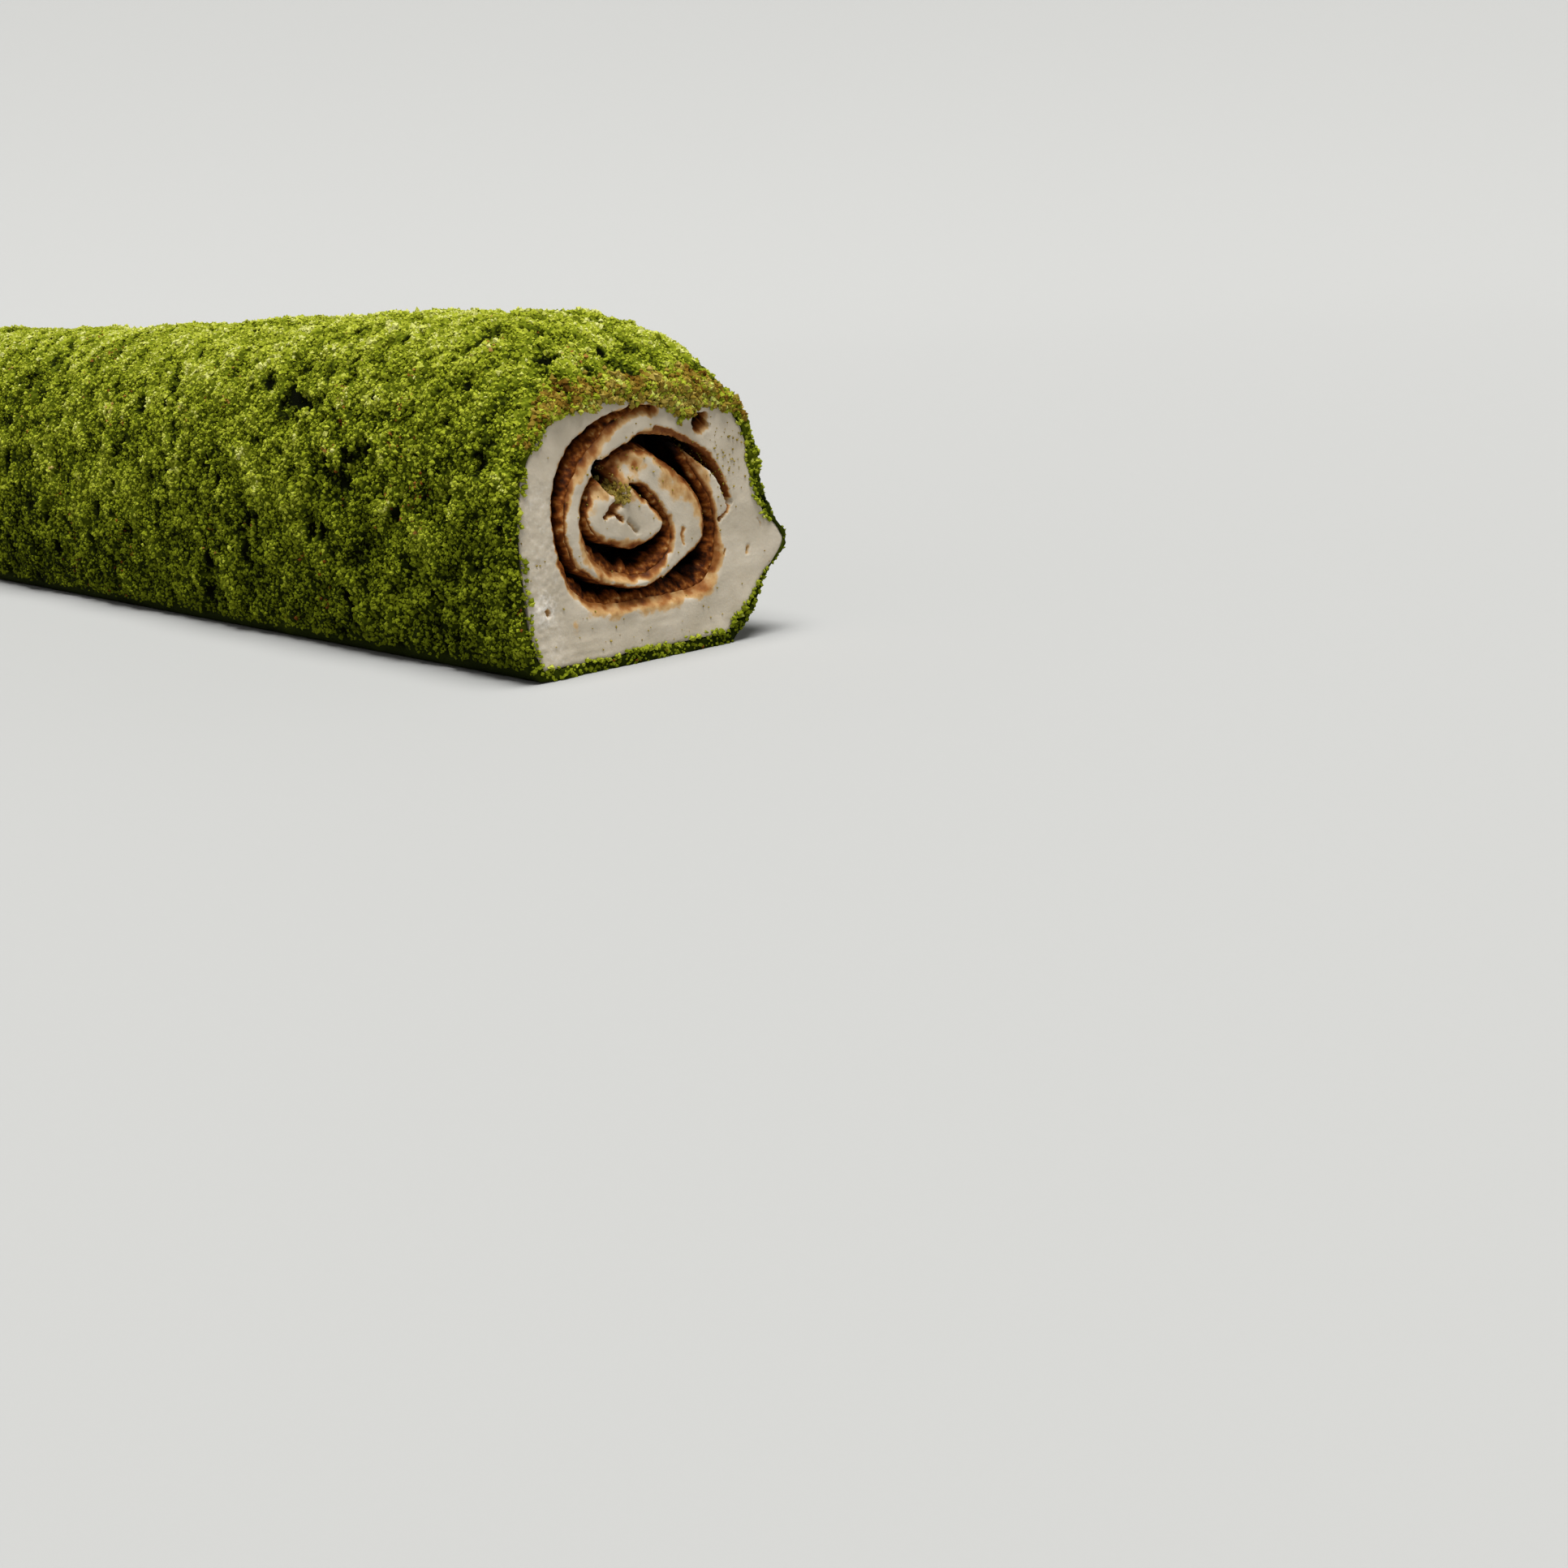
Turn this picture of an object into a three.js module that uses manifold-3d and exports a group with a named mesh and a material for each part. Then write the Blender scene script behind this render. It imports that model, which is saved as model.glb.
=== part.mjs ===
// A turkish delight roll: a sheet of pale delight, spread with cocoa cream, rolled up and coated in
// ground pistachio, then cut square across at both ends.
// Millimetres, +Z up. The roll lies along X on its flat base, with the origin under its middle.

import * as THREE from 'three';
import { mergeVertices } from 'three/addons/utils/BufferGeometryUtils.js';
import Module from 'manifold-3d';

const wasm = await Module();
wasm.setup();

// ---- Driving dimensions ----

const ROLL_LENGTH = 240;
const HALF_LENGTH = ROLL_LENGTH / 2;
const CLEARANCE = 0.3; // between one layer and the next

// The knife drags the top down towards each cut. The stations count from the cut inwards, and the
// last is where the drag ends.
const CREST = 45.3; // top of the delight, away from the cuts
const SHOULDER_DROP = 9.2;
const SHOULDER_EASE = 2.2;
const SHOULDER_FOOT = 18.7; // nothing below this height is dragged
const SHOULDER_STATIONS = [0, 2.5, 5.5, 10, 20];
const GROOVE_STATIONS = 4; // how many of them the open gap and the splits reach past

// The delight's outline across the roll, away from the cuts, as [across, height]: from the base's
// left corner over the top to its right corner. The sheet's outer edge makes the nose on the right.
const CORE_OUTLINE = [
  [-20.2, 1.5], [-21.6, 5], [-22.3, 12], [-22.4, 21], [-21.2, 31], [-17.4, 39.6], [-11, 44.4],
  [-2.5, CREST], [6.5, 44.1], [13.6, 41], [16.7, 34.6], [17.4, 27], [19.2, 18.9], [22.2, 14.6],
  [22.4, 12.6], [19.4, 9.6], [15.9, 5.2], [11.4, 1.5],
];
const OUTLINE_SIDES = 38;

// The coat, thin on the nose and below it.
const COAT_THICKNESS = 1.6;
const THIN_COAT = 0.8;
const THIN_FROM = 6;
const THIN_TO = 15;
const THIN_FADE = 4.5;

// The open spiral between the sheet's turns as it shows on a cut, in eighths of a turn from its
// outer tip inwards. Each row is [distance from the spiral's centre, width of the gap].
const SPIRAL_CENTRE = [-3.4, 20.4];
const SPIRAL_START_DEG = 70;
const EIGHTH_TURN_DEG = 45;
const SPIRAL_STATIONS = [
  [13.8, 1.1], [12.6, 2.6], [12.4, 2.6], [12.6, 2.0], [11.4, 2.3], [11.8, 3.3], [14.4, 2.8], [11.8, 2.8],
  [10.6, 3.1], [8.7, 1.5], [8.5, 1.3], [7.7, 2.3], [6.6, 3.4], [6.6, 3.6], [6.4, 1.9], [4.0, 1.7],
  [3.6, 1.3],
];
const STEPS_PER_EIGHTH = 2;

// Two short splits beside it: one into the core, one behind a torn flap. [across, height, width].
const CORE_SPLIT = [[-8.6, 26.1, 1.8], [-6.8, 24.0, 1.7], [-6.3, 21.2, 1.2]];
const FLAP_SPLIT = [[9.9, 27.0, 0.9], [12.2, 23.4, 1.0], [13.5, 18.9, 0.9]];
const SPLIT_STEPS = 2;

// The cream lines the gap's walls, and leaves the wide stretches of the gap open at the cuts.
const CREAM_RECESS = 0.6;
const CREAM_LINING = 0.4;
const NARROWEST_VOID = 0.5;

// The roll's slow waves along its length, and the lumps of its coat.
const WAVE_LENGTH = 230;
const WAVE_CREST = 80;
const WAVE_HEIGHT = 0.6;
const WAVE_SWAY = 0.5;
const WAVE_FOOT = 6;
const WAVE_FULL = 30;
const CORE_STEPS = 8;
const COAT_STEPS = 42;
const LONG_LUMP = 0.32;
const LONG_LUMP_LENGTH = 40;
const LUMP_HEIGHT = 0.24;
const FLAT_BASE = 0.4; // the lumps fade in above this height

const COLOURS = { delight: 0xd9d0c3, cream: 0x5a2d17, pistachio: 0x7c9a1f };

// ---- How the roll is bent out of a straight prism ----

const smoothstep = (low, high, value) => THREE.MathUtils.smoothstep(value, low, high);

// The height on a cut of what lies at the given height away from the cuts, and back.
const dragShare = SHOULDER_DROP / (CREST - SHOULDER_FOOT);
const aboveFoot = (height) => Math.max(0, height - SHOULDER_FOOT);
const lift = (height) => height + aboveFoot(height) * (1 / (1 - dragShare) - 1);

// x is along the roll, y across it, z up.
function bend(point) {
  const shoulder = SHOULDER_STATIONS[SHOULDER_STATIONS.length - 1];
  const fromCut = Math.max(0, HALF_LENGTH - Math.abs(point.x));
  const loose = smoothstep(WAVE_FOOT, WAVE_FULL, point.z) * smoothstep(0, 2 * shoulder, fromCut);
  const wave = (2 * Math.PI * (point.x - WAVE_CREST)) / WAVE_LENGTH;
  const drag = Math.max(0, 1 - fromCut / shoulder) ** SHOULDER_EASE;
  point.z -= aboveFoot(point.z) * dragShare * drag;
  point.z += WAVE_HEIGHT * Math.cos(wave) * loose;
  point.y += WAVE_SWAY * Math.sin(2 * wave) * loose;
  return point;
}

// Stations along the roll: the shoulders' own, then even steps between the two shoulders. Every
// layer uses the same ones, so that the clearance between them holds where they bend.
function stations(middleSteps, cutBack = 0) {
  const inwards = SHOULDER_STATIONS.map((inset) => HALF_LENGTH - Math.max(inset, cutBack));
  const last = inwards[inwards.length - 1];
  const middle = [];
  for (let i = 1; i < middleSteps; i++) {
    middle.push(last - (2 * last * i) / middleSteps);
  }
  return [...inwards, ...middle, ...inwards.map((x) => -x).reverse()].reverse();
}

// The same, from beyond both cuts, for the tools that cut right through the roll.
function overlong(along) {
  return [along[0] - 2, ...along, along[along.length - 1] + 2];
}

// The stations of a groove that opens at one end, which is 1 or -1.
function grooveStations(end) {
  const insets = [-2, ...SHOULDER_STATIONS.slice(0, GROOVE_STATIONS)];
  return insets.map((inset) => end * (HALF_LENGTH - inset)).sort((a, b) => a - b);
}

// ---- Outlines across the roll ----

// The delight's outline, grown outwards by growth(across, height).
function coreOutline(growth) {
  const keys = CORE_OUTLINE.map(([across, height]) => new THREE.Vector2(across, height));
  const points = new THREE.SplineCurve(keys).getSpacedPoints(OUTLINE_SIDES);
  const base = keys[0].y;
  return points.map((point, i) => {
    const grown = growth(point.x, point.y);
    if (i === 0 || i === OUTLINE_SIDES) {
      return new THREE.Vector2(point.x, base - grown);
    }
    const along = points[i + 1].clone().sub(points[i - 1]).normalize();
    return new THREE.Vector2(point.x - along.y * grown, point.y + along.x * grown);
  });
}

function coatGrowth(across, height) {
  const beyond = Math.max(THIN_FROM - height, height - THIN_TO, across < 0 ? THIN_FADE : 0);
  return THREE.MathUtils.lerp(THIN_COAT, COAT_THICKNESS, smoothstep(0, THIN_FADE, beyond));
}

// The outline of a strip that follows the rows of [across, height, width] given on a cut.
function stripOutline(rows) {
  const sides = [[], []];
  rows.forEach(([across, height, width], i) => {
    const before = rows[Math.max(0, i - 1)];
    const after = rows[Math.min(rows.length - 1, i + 1)];
    const along = new THREE.Vector2(after[0] - before[0], after[1] - before[1]).normalize();
    sides.forEach((side, n) => {
      const out = (n === 0 ? 0.5 : -0.5) * width;
      side.push(new THREE.Vector2(across - along.y * out, lift(height + along.x * out)));
    });
  });
  return [...sides[0], ...sides[1].reverse()];
}

// Rows at even steps on a smooth curve through the given ones.
function smoothRows(rows, stepsPerRow) {
  const curve = new THREE.CatmullRomCurve3(rows.map((row) => new THREE.Vector3(...row)));
  return curve.getPoints((rows.length - 1) * stepsPerRow).map((point) => point.toArray());
}

function spiralRows() {
  const unrolled = SPIRAL_STATIONS.map(([radius, width], i) => [radius, i, width]);
  return smoothRows(unrolled, STEPS_PER_EIGHTH).map(([radius, eighths, width]) => {
    const angle = THREE.MathUtils.degToRad(SPIRAL_START_DEG + eighths * EIGHTH_TURN_DEG);
    const [across, height] = SPIRAL_CENTRE;
    return [across + radius * Math.cos(angle), height + radius * Math.sin(angle), width];
  });
}

// The same rows with their strip made smaller by the same amount all round.
function shrunk(rows, by) {
  const smaller = rows.map(([across, height, width]) => [across, height, width - 2 * by]);
  const ends = [[0, 1], [rows.length - 1, rows.length - 2]];
  for (const [end, next] of ends) {
    const [from, to] = [rows[end], rows[next]];
    const share = by / Math.hypot(to[0] - from[0], to[1] - from[1]);
    smaller[end][0] += share * (to[0] - from[0]);
    smaller[end][1] += share * (to[1] - from[1]);
  }
  return smaller;
}

// The runs of at least three neighbouring rows that are wide enough to stay open.
function wideRuns(rows) {
  const runs = [[]];
  for (const row of rows) {
    if (row[2] >= NARROWEST_VOID) {
      runs[runs.length - 1].push(row);
    } else if (runs[runs.length - 1].length) {
      runs.push([]);
    }
  }
  return runs.filter((run) => run.length > 2);
}

// ---- Solids ----

// A prism of an outline through the stations along the roll, with each corner moved by place.
function prism(outline, along, place) {
  const steps = along.length - 1;
  const shape = new THREE.Shape(outline);
  const geometry = new THREE.ExtrudeGeometry(shape, { depth: steps, steps, bevelEnabled: false });
  const position = geometry.attributes.position;
  const corner = new THREE.Vector3();
  for (let i = 0; i < position.count; i++) {
    corner.set(along[Math.round(position.getZ(i))], position.getX(i), position.getY(i));
    place(corner);
    position.setXYZ(i, corner.x, corner.y, corner.z);
  }
  return toSolid(geometry);
}

function toSolid(geometry) {
  geometry.deleteAttribute('normal');
  geometry.deleteAttribute('uv');
  const merged = mergeVertices(geometry);
  return new wasm.Manifold(new wasm.Mesh({
    numProp: 3,
    vertProperties: new Float32Array(merged.attributes.position.array),
    triVerts: new Uint32Array(merged.index.array),
  }));
}

function toMesh(name, solid, color, roughness) {
  const { vertProperties, triVerts } = solid.getMesh();
  const geometry = new THREE.BufferGeometry();
  geometry.setAttribute('position', new THREE.BufferAttribute(vertProperties, 3));
  geometry.setIndex(new THREE.BufferAttribute(triVerts, 1));
  geometry.computeVertexNormals();
  const material = new THREE.MeshStandardMaterial({ color, roughness, metalness: 0 });
  const mesh = new THREE.Mesh(geometry, material);
  mesh.name = name;
  return mesh;
}

// A solid with grooves along the given strips cut into both of its ends.
function grooved(solid, strips) {
  const tools = strips.flatMap((rows) => [-1, 1].map((end) => (
    prism(stripOutline(rows), grooveStations(end), bend)
  )));
  return tools.reduce((left, tool) => left.subtract(tool), solid);
}

function sheetSolid() {
  const core = prism(coreOutline(() => -CLEARANCE / 2), stations(CORE_STEPS), bend);
  const gap = prism(stripOutline(spiralRows()), overlong(stations(CORE_STEPS)), bend);
  const splits = [CORE_SPLIT, FLAP_SPLIT].map((rows) => smoothRows(rows, SPLIT_STEPS));
  return grooved(core.subtract(gap), splits);
}

function creamSolid() {
  const rows = spiralRows();
  const strip = stripOutline(shrunk(rows, CLEARANCE));
  const cream = prism(strip, stations(CORE_STEPS, CREAM_RECESS), bend);
  return grooved(cream, wideRuns(shrunk(rows, CLEARANCE + CREAM_LINING)));
}

// How far the coat is heaped up at a place on it.
function lump({ x, y, z }) {
  const coarse = Math.sin(0.55 * x + 2.1 * Math.sin(0.21 * y + 1)) * Math.sin(0.47 * z - 0.31 * y);
  const fine = Math.sin(1.31 * x - 0.9 * z) * Math.cos(1.07 * y + 0.63 * x + 0.4 * z);
  const long = Math.cos((2 * Math.PI * (x + 0.25 * y + 10)) / LONG_LUMP_LENGTH);
  const inside = smoothstep(0, LONG_LUMP_LENGTH, HALF_LENGTH - Math.abs(x));
  return LUMP_HEIGHT * (coarse + 0.8 * fine) + LONG_LUMP * long * inside;
}

function coatSolid() {
  const centre = new THREE.Vector2(...SPIRAL_CENTRE);
  const outer = prism(coreOutline(coatGrowth), stations(COAT_STEPS), (corner) => {
    const share = (coatGrowth(corner.y, corner.z) / COAT_THICKNESS) ** 2;
    const raised = share * lump(corner) * smoothstep(FLAT_BASE, 4, corner.z);
    const outward = new THREE.Vector2(corner.y, corner.z).sub(centre).normalize();
    corner.y += outward.x * raised;
    corner.z += outward.y * raised;
    return bend(corner);
  });
  const inner = prism(coreOutline(() => CLEARANCE / 2), overlong(stations(CORE_STEPS)), bend);
  return outer.subtract(inner);
}

// ---- The roll ----

const roll = new THREE.Group();
roll.add(toMesh('delight_sheet', sheetSolid(), COLOURS.delight, 0.6));
roll.add(toMesh('cocoa_cream', creamSolid(), COLOURS.cream, 0.5));
roll.add(toMesh('pistachio_coat', coatSolid(), COLOURS.pistachio, 0.95));

// The origin goes under the middle of the whole roll.
const box = new THREE.Box3().setFromObject(roll);
roll.position.set(-(box.min.x + box.max.x) / 2, -(box.min.y + box.max.y) / 2, -box.min.z);
roll.updateMatrixWorld(true);

export default roll;
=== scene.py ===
# %% [markdown]
# # A turkish delight roll
# A long roll of soft white delight, wound round cocoa cream and rolled in coarsely ground
# pistachio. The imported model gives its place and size. This script dresses it: the cut ends get
# their torn edges and stains, the gap its smeared cream, and the coat its thousands of crumbs.

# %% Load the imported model
import math
from functools import partial
from itertools import product

import bpy
import numpy as np
from mathutils import Matrix, Vector
from mathutils.geometry import delaunay_2d_cdt


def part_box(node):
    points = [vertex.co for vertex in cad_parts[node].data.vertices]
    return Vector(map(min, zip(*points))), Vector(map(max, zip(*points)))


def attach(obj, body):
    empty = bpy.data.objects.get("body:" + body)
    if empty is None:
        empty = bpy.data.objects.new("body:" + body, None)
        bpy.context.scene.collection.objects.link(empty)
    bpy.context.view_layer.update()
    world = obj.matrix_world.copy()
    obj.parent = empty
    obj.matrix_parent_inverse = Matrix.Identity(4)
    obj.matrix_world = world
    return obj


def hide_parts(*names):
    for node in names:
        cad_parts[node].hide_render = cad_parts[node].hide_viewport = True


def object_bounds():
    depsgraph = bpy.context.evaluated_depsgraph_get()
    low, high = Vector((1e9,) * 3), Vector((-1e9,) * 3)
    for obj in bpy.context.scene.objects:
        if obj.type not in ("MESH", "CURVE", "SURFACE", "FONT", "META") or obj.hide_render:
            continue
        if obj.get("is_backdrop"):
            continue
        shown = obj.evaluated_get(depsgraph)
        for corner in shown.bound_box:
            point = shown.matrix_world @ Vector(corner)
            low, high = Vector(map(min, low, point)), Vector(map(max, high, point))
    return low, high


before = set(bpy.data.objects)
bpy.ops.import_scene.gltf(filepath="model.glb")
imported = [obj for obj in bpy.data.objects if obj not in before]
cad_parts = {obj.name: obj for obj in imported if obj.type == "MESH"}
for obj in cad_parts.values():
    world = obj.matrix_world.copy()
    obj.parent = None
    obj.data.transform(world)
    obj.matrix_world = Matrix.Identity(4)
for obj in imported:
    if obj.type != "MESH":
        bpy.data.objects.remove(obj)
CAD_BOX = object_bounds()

# %% [markdown]
# ## The form in a few numbers
# The roll is a prism that is bent: its top is dragged down where the knife went through, and it
# waves a little along its length. All sizes are in millimetres, as on a drawing, and `MM` turns
# them to Blender's metres when a mesh is made. The outline is the one that the solids have.

# %% Sizes
MM = 0.001
HALF = (CAD_BOX[1].x - CAD_BOX[0].x) / 2 / MM  # half the roll's length
CREST = 45.3  # the top's height, away from the cuts
DROP = 9.2  # how far the knife dragged the top down at the cuts
EASE = 2.2  # how suddenly it goes down
FOOT = 18.7  # below this height nothing was dragged
SHOULDER = 20.0  # the length over which the top goes down
WAVE_LENGTH, WAVE_CREST, WAVE_HEIGHT, WAVE_SWAY = 230.0, 80.0, 0.6, 0.5
WAVE_FROM, WAVE_TO = 6, 30  # the heights between which the wave sets in
CORE_OUTLINE = [
    (-20.2, 1.5), (-21.6, 5), (-22.3, 12), (-22.4, 21), (-21.2, 31), (-17.4, 39.6), (-11, 44.4),
    (-2.5, CREST), (6.5, 44.1), (13.6, 41), (16.7, 34.6), (17.4, 27), (19.2, 18.9), (22.2, 14.6),
    (22.4, 12.6), (19.4, 9.6), (15.9, 5.2), (11.4, 1.5),
]
BASE_HEIGHT = CORE_OUTLINE[0][1]
SIDES_LENGTH, BASE_LENGTH = 140, 31  # round the outline, and along its base
SEAM = 0.15  # half the play between the delight and its coat
COAT, THIN_COAT = 1.6, 0.8  # the coat's thickness, and that beside the nose
THIN_FROM, THIN_TO, THIN_FADE = 6.0, 15.0, 4.5  # the heights where it is thin
print("length", 2 * HALF, "mm, height without the coat", CREST - BASE_HEIGHT, "mm")


# %% [markdown]
# ## Helpers for shapes
# NumPy does the sums for whole rows of points at once. `noise` is the usual lattice noise: random
# numbers on a grid, smoothly mixed between its corners, so its grain is as large as the grid.

# %% Helpers for noise
HASH_STEPS = np.array([374761393, 668265263, 2147483647], np.uint64)
HASH_MIX = 1274126177
NOISE_FROM = 1000  # moves the lattice away, so that no place on the roll is negative


def ease(low, high, value):
    """A share that eases from 0 at the low value to 1 at the high one."""
    share = np.clip((value - low) / (high - low), 0, 1)
    return share * share * (3 - 2 * share)


def lattice(corner, seed):
    """A random number from -1 to 1 for each corner of the lattice."""
    mixed = (corner.astype(np.int64).astype(np.uint64) * HASH_STEPS).sum(-1)
    mixed = mixed + np.uint64(seed * HASH_MIX)
    mixed = (mixed ^ (mixed >> np.uint64(13))) * np.uint64(HASH_MIX)
    mixed = mixed ^ (mixed >> np.uint64(16))
    return (mixed & np.uint64(0xFFFF)).astype(float) / 0x7FFF - 1


def noise(points, grain, seed):
    scaled = np.asarray(points, float) / grain + NOISE_FROM
    corner = np.floor(scaled)
    part = scaled - corner
    part = part * part * (3 - 2 * part)
    total = 0
    for step in product((0, 1), repeat=3):
        weight = np.prod(np.where(step, part, 1 - part), axis=-1)
        total = total + weight * lattice(corner + step, seed)
    return total


# %% Helpers for lines
FINE = 60  # fine steps for each key of a spline


def unit(vectors):
    return vectors / np.linalg.norm(vectors, axis=1, keepdims=True)


def run_along(points):
    """The length from the first point to each."""
    return np.concatenate([[0], np.cumsum(np.linalg.norm(np.diff(points, axis=0), axis=1))])


def between(rows, place):
    """What the rows hold at places counted in rows."""
    return np.stack([np.interp(place, np.arange(len(rows)), column) for column in rows.T], 1)


def spline_at(keys, place):
    """Catmull-Rom through the keys, at places counted in keys."""
    keys = np.asarray(keys, float)
    padded = np.vstack([keys[0], keys, keys[-1]])
    first = np.minimum(place.astype(int), len(keys) - 2)
    t = (place - first)[:, None]
    a, b, c, d = (padded[first + i] for i in range(4))
    return 0.5 * (2 * b + (c - a) * t + (2 * a - 5 * b + 4 * c - d) * t**2
                  + (3 * b - a - 3 * c + d) * t**3)


def even_steps(points, count):
    """Places, counted in points, that are even steps of length apart along them."""
    run = run_along(points)
    return np.interp(np.linspace(0, run[-1], count), run, np.arange(len(points)))


def spline(keys, count):
    """Catmull-Rom through the keys, at count even steps of length."""
    fine = np.linspace(0, len(keys) - 1, FINE * len(keys))
    place = even_steps(spline_at(keys, fine), count)
    return spline_at(keys, np.interp(place, np.arange(len(fine)), fine))


def lift(height):
    """The height away from the cuts of what shows at the given height on a cut."""
    drag = DROP / (CREST - FOOT)
    return height + np.maximum(0, height - FOOT) * (1 / (1 - drag) - 1)


def bend(x, y, z):
    """The drawing's places on the bent roll: dragged down near the cuts, and waving a little."""
    from_cut = np.maximum(0, HALF - np.abs(x))
    loose = ease(WAVE_FROM, WAVE_TO, z) * ease(0, 2 * SHOULDER, from_cut)
    wave = 2 * np.pi * (x - WAVE_CREST) / WAVE_LENGTH
    drag = np.maximum(0, 1 - from_cut / SHOULDER) ** EASE
    z = z - np.maximum(0, z - FOOT) * DROP / (CREST - FOOT) * drag
    z = z + WAVE_HEIGHT * np.cos(wave) * loose
    y = y + WAVE_SWAY * np.sin(2 * wave) * loose
    return y, z


def grow(outline, by):
    """The outline moved outwards, and its outward directions."""
    along = unit(np.gradient(outline, axis=0))
    out = np.stack([-along[:, 1], along[:, 0]], 1)
    return outline + out * np.reshape(by, (-1, 1)), out


def in_space(points, x):
    """Points of the drawing as points in space, at the given place along the roll."""
    return np.column_stack([np.broadcast_to(x, len(points)), points])


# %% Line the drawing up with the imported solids
core = spline(CORE_OUTLINE, 400)
sheet_low, sheet_high = (np.array(corner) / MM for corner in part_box("delight_sheet"))
inset, _ = grow(core, -SEAM)
SHIFT = np.array([
    (sheet_low[1] + sheet_high[1] - inset[:, 0].min() - inset[:, 0].max()) / 2,
    sheet_low[2] - (BASE_HEIGHT + SEAM),
])
print("drawing moved by", SHIFT.round(2), "mm")


# %% Helpers for meshes
def link(piece):
    """Puts an object in the scene and gives it back."""
    bpy.context.scene.collection.objects.link(piece)
    return piece


def paint(mesh, key, values):
    """Stores a number or a vector for each point of a mesh."""
    kind, field = ("FLOAT_VECTOR", "vector") if np.ndim(values) == 2 else ("FLOAT", "value")
    layer = mesh.attributes.new(key, kind, "POINT")
    layer.data.foreach_set(field, np.ravel(values).astype(float))


def read(mesh, key):
    """The number or the vector that a mesh holds for each point."""
    layer = mesh.attributes[key]
    width, field = (3, "vector") if layer.data_type == "FLOAT_VECTOR" else (1, "value")
    values = np.empty(width * len(mesh.vertices))
    layer.data.foreach_get(field, values)
    return values.reshape(-1, 3) if width == 3 else values


def make_mesh(name, points, faces, values=None):
    """A smooth-shaded object at the origin, from points in millimetres, with point values."""
    mesh = bpy.data.meshes.new(name)
    mesh.from_pydata((np.asarray(points) * MM).tolist(), [], faces)
    mesh.polygons.foreach_set("use_smooth", np.ones(len(mesh.polygons), bool))
    for key, data in (values or {}).items():
        paint(mesh, key, data)
    mesh.update()
    return link(bpy.data.objects.new(name, mesh))


def grid_faces(rows, rows_meet, columns_meet):
    """Quads of a grid of point numbers, whose rows and whose columns may close on themselves."""
    here = rows if rows_meet else rows[:-1]
    after = np.roll(rows, -1, axis=0)[:len(here)]
    corners = [here, after, np.roll(after, -1, axis=1), np.roll(here, -1, axis=1)]
    width = rows.shape[1] - (not columns_meet)
    return np.stack([corner[:, :width].ravel() for corner in corners], 1).tolist()


# %% Helpers for materials and for trees of nodes
MATH, VECTOR_MATH, RANGE = "ShaderNodeMath", "ShaderNodeVectorMath", "ShaderNodeMapRange"
NOISE, RAMP, ATTRIBUTE = "ShaderNodeTexNoise", "ShaderNodeValToRGB", "ShaderNodeAttribute"
NAMED, MOVE = "GeometryNodeInputNamedAttribute", "GeometryNodeSetPosition"
RANDOM, REALIZE = "FunctionNodeRandomValue", "GeometryNodeRealizeInstances"
MULTIPLY, MULTIPLY_ADD, SUBTRACT, DIVIDE, MAXIMUM, POWER, SCALE = (
    {"operation": name} for name in (
        "MULTIPLY", "MULTIPLY_ADD", "SUBTRACT", "DIVIDE", "MAXIMUM", "POWER", "SCALE"))
SMOOTH = {"interpolation_type": "SMOOTHSTEP"}


def linear(hex_code):
    """An sRGB hex colour as linear red, green, blue and alpha."""
    channels = [int(hex_code[i:i + 2], 16) / 255 for i in (1, 3, 5)]
    return [c / 12.92 if c <= 0.04045 else ((c + 0.055) / 1.055) ** 2.4 for c in channels] + [1]


def add(tree, kind, settings=None, *values, **others):
    """Adds a node with its settings and links, and gives it back.

    Its inputs come in order, or by name, where i6 is the seventh. A node among them stands for
    its first output, and the stops of a colour ramp are one of its settings.
    """
    node = tree.nodes.new(kind)
    settings = dict(settings or {})
    stops = settings.pop("stops", [])
    for key, value in settings.items():
        setattr(node, key, value)
    for _ in stops[2:]:
        node.color_ramp.elements.new(0.5)
    for index, (place, colour) in enumerate(stops):
        node.color_ramp.elements[index].position = place
        node.color_ramp.elements[index].color = linear(colour)
    for key, value in [*enumerate(values), *others.items()]:
        if isinstance(key, str):
            key = int(key[1:]) if key[1:].isdigit() else key.replace("_", " ")
        if isinstance(value, bpy.types.Node):
            value = value.outputs[0]
        if isinstance(value, bpy.types.NodeSocket):
            tree.links.new(value, node.inputs[key])
        else:
            node.inputs[key].default_value = value
    return node


def new_material(name, **inputs):
    """A material and its tree, with the given inputs set on its shader."""
    material = bpy.data.materials.new(name)
    material.use_nodes = True
    shader = material.node_tree.nodes["Principled BSDF"]
    for key, value in inputs.items():
        shader.inputs[key.replace("_", " ")].default_value = value
    print("material", name)
    return material, material.node_tree


def finish_material(tree, colour, grain, strength, depth):
    """Gives the shader its colour, and a bump from the grain, so many millimetres deep."""
    shader = tree.nodes["Principled BSDF"]
    bump = add(tree, "ShaderNodeBump", Strength=strength, Distance=depth * MM, Height=grain)
    tree.links.new(colour, shader.inputs["Base Color"])
    tree.links.new(bump.outputs[0], shader.inputs["Normal"])


# %% [markdown]
# ## The camera
# The camera was solved from the round edge and the cut faces in the photograph: it looks a little
# down on the near cut, from its left, with the roll running away to the left.

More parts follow.
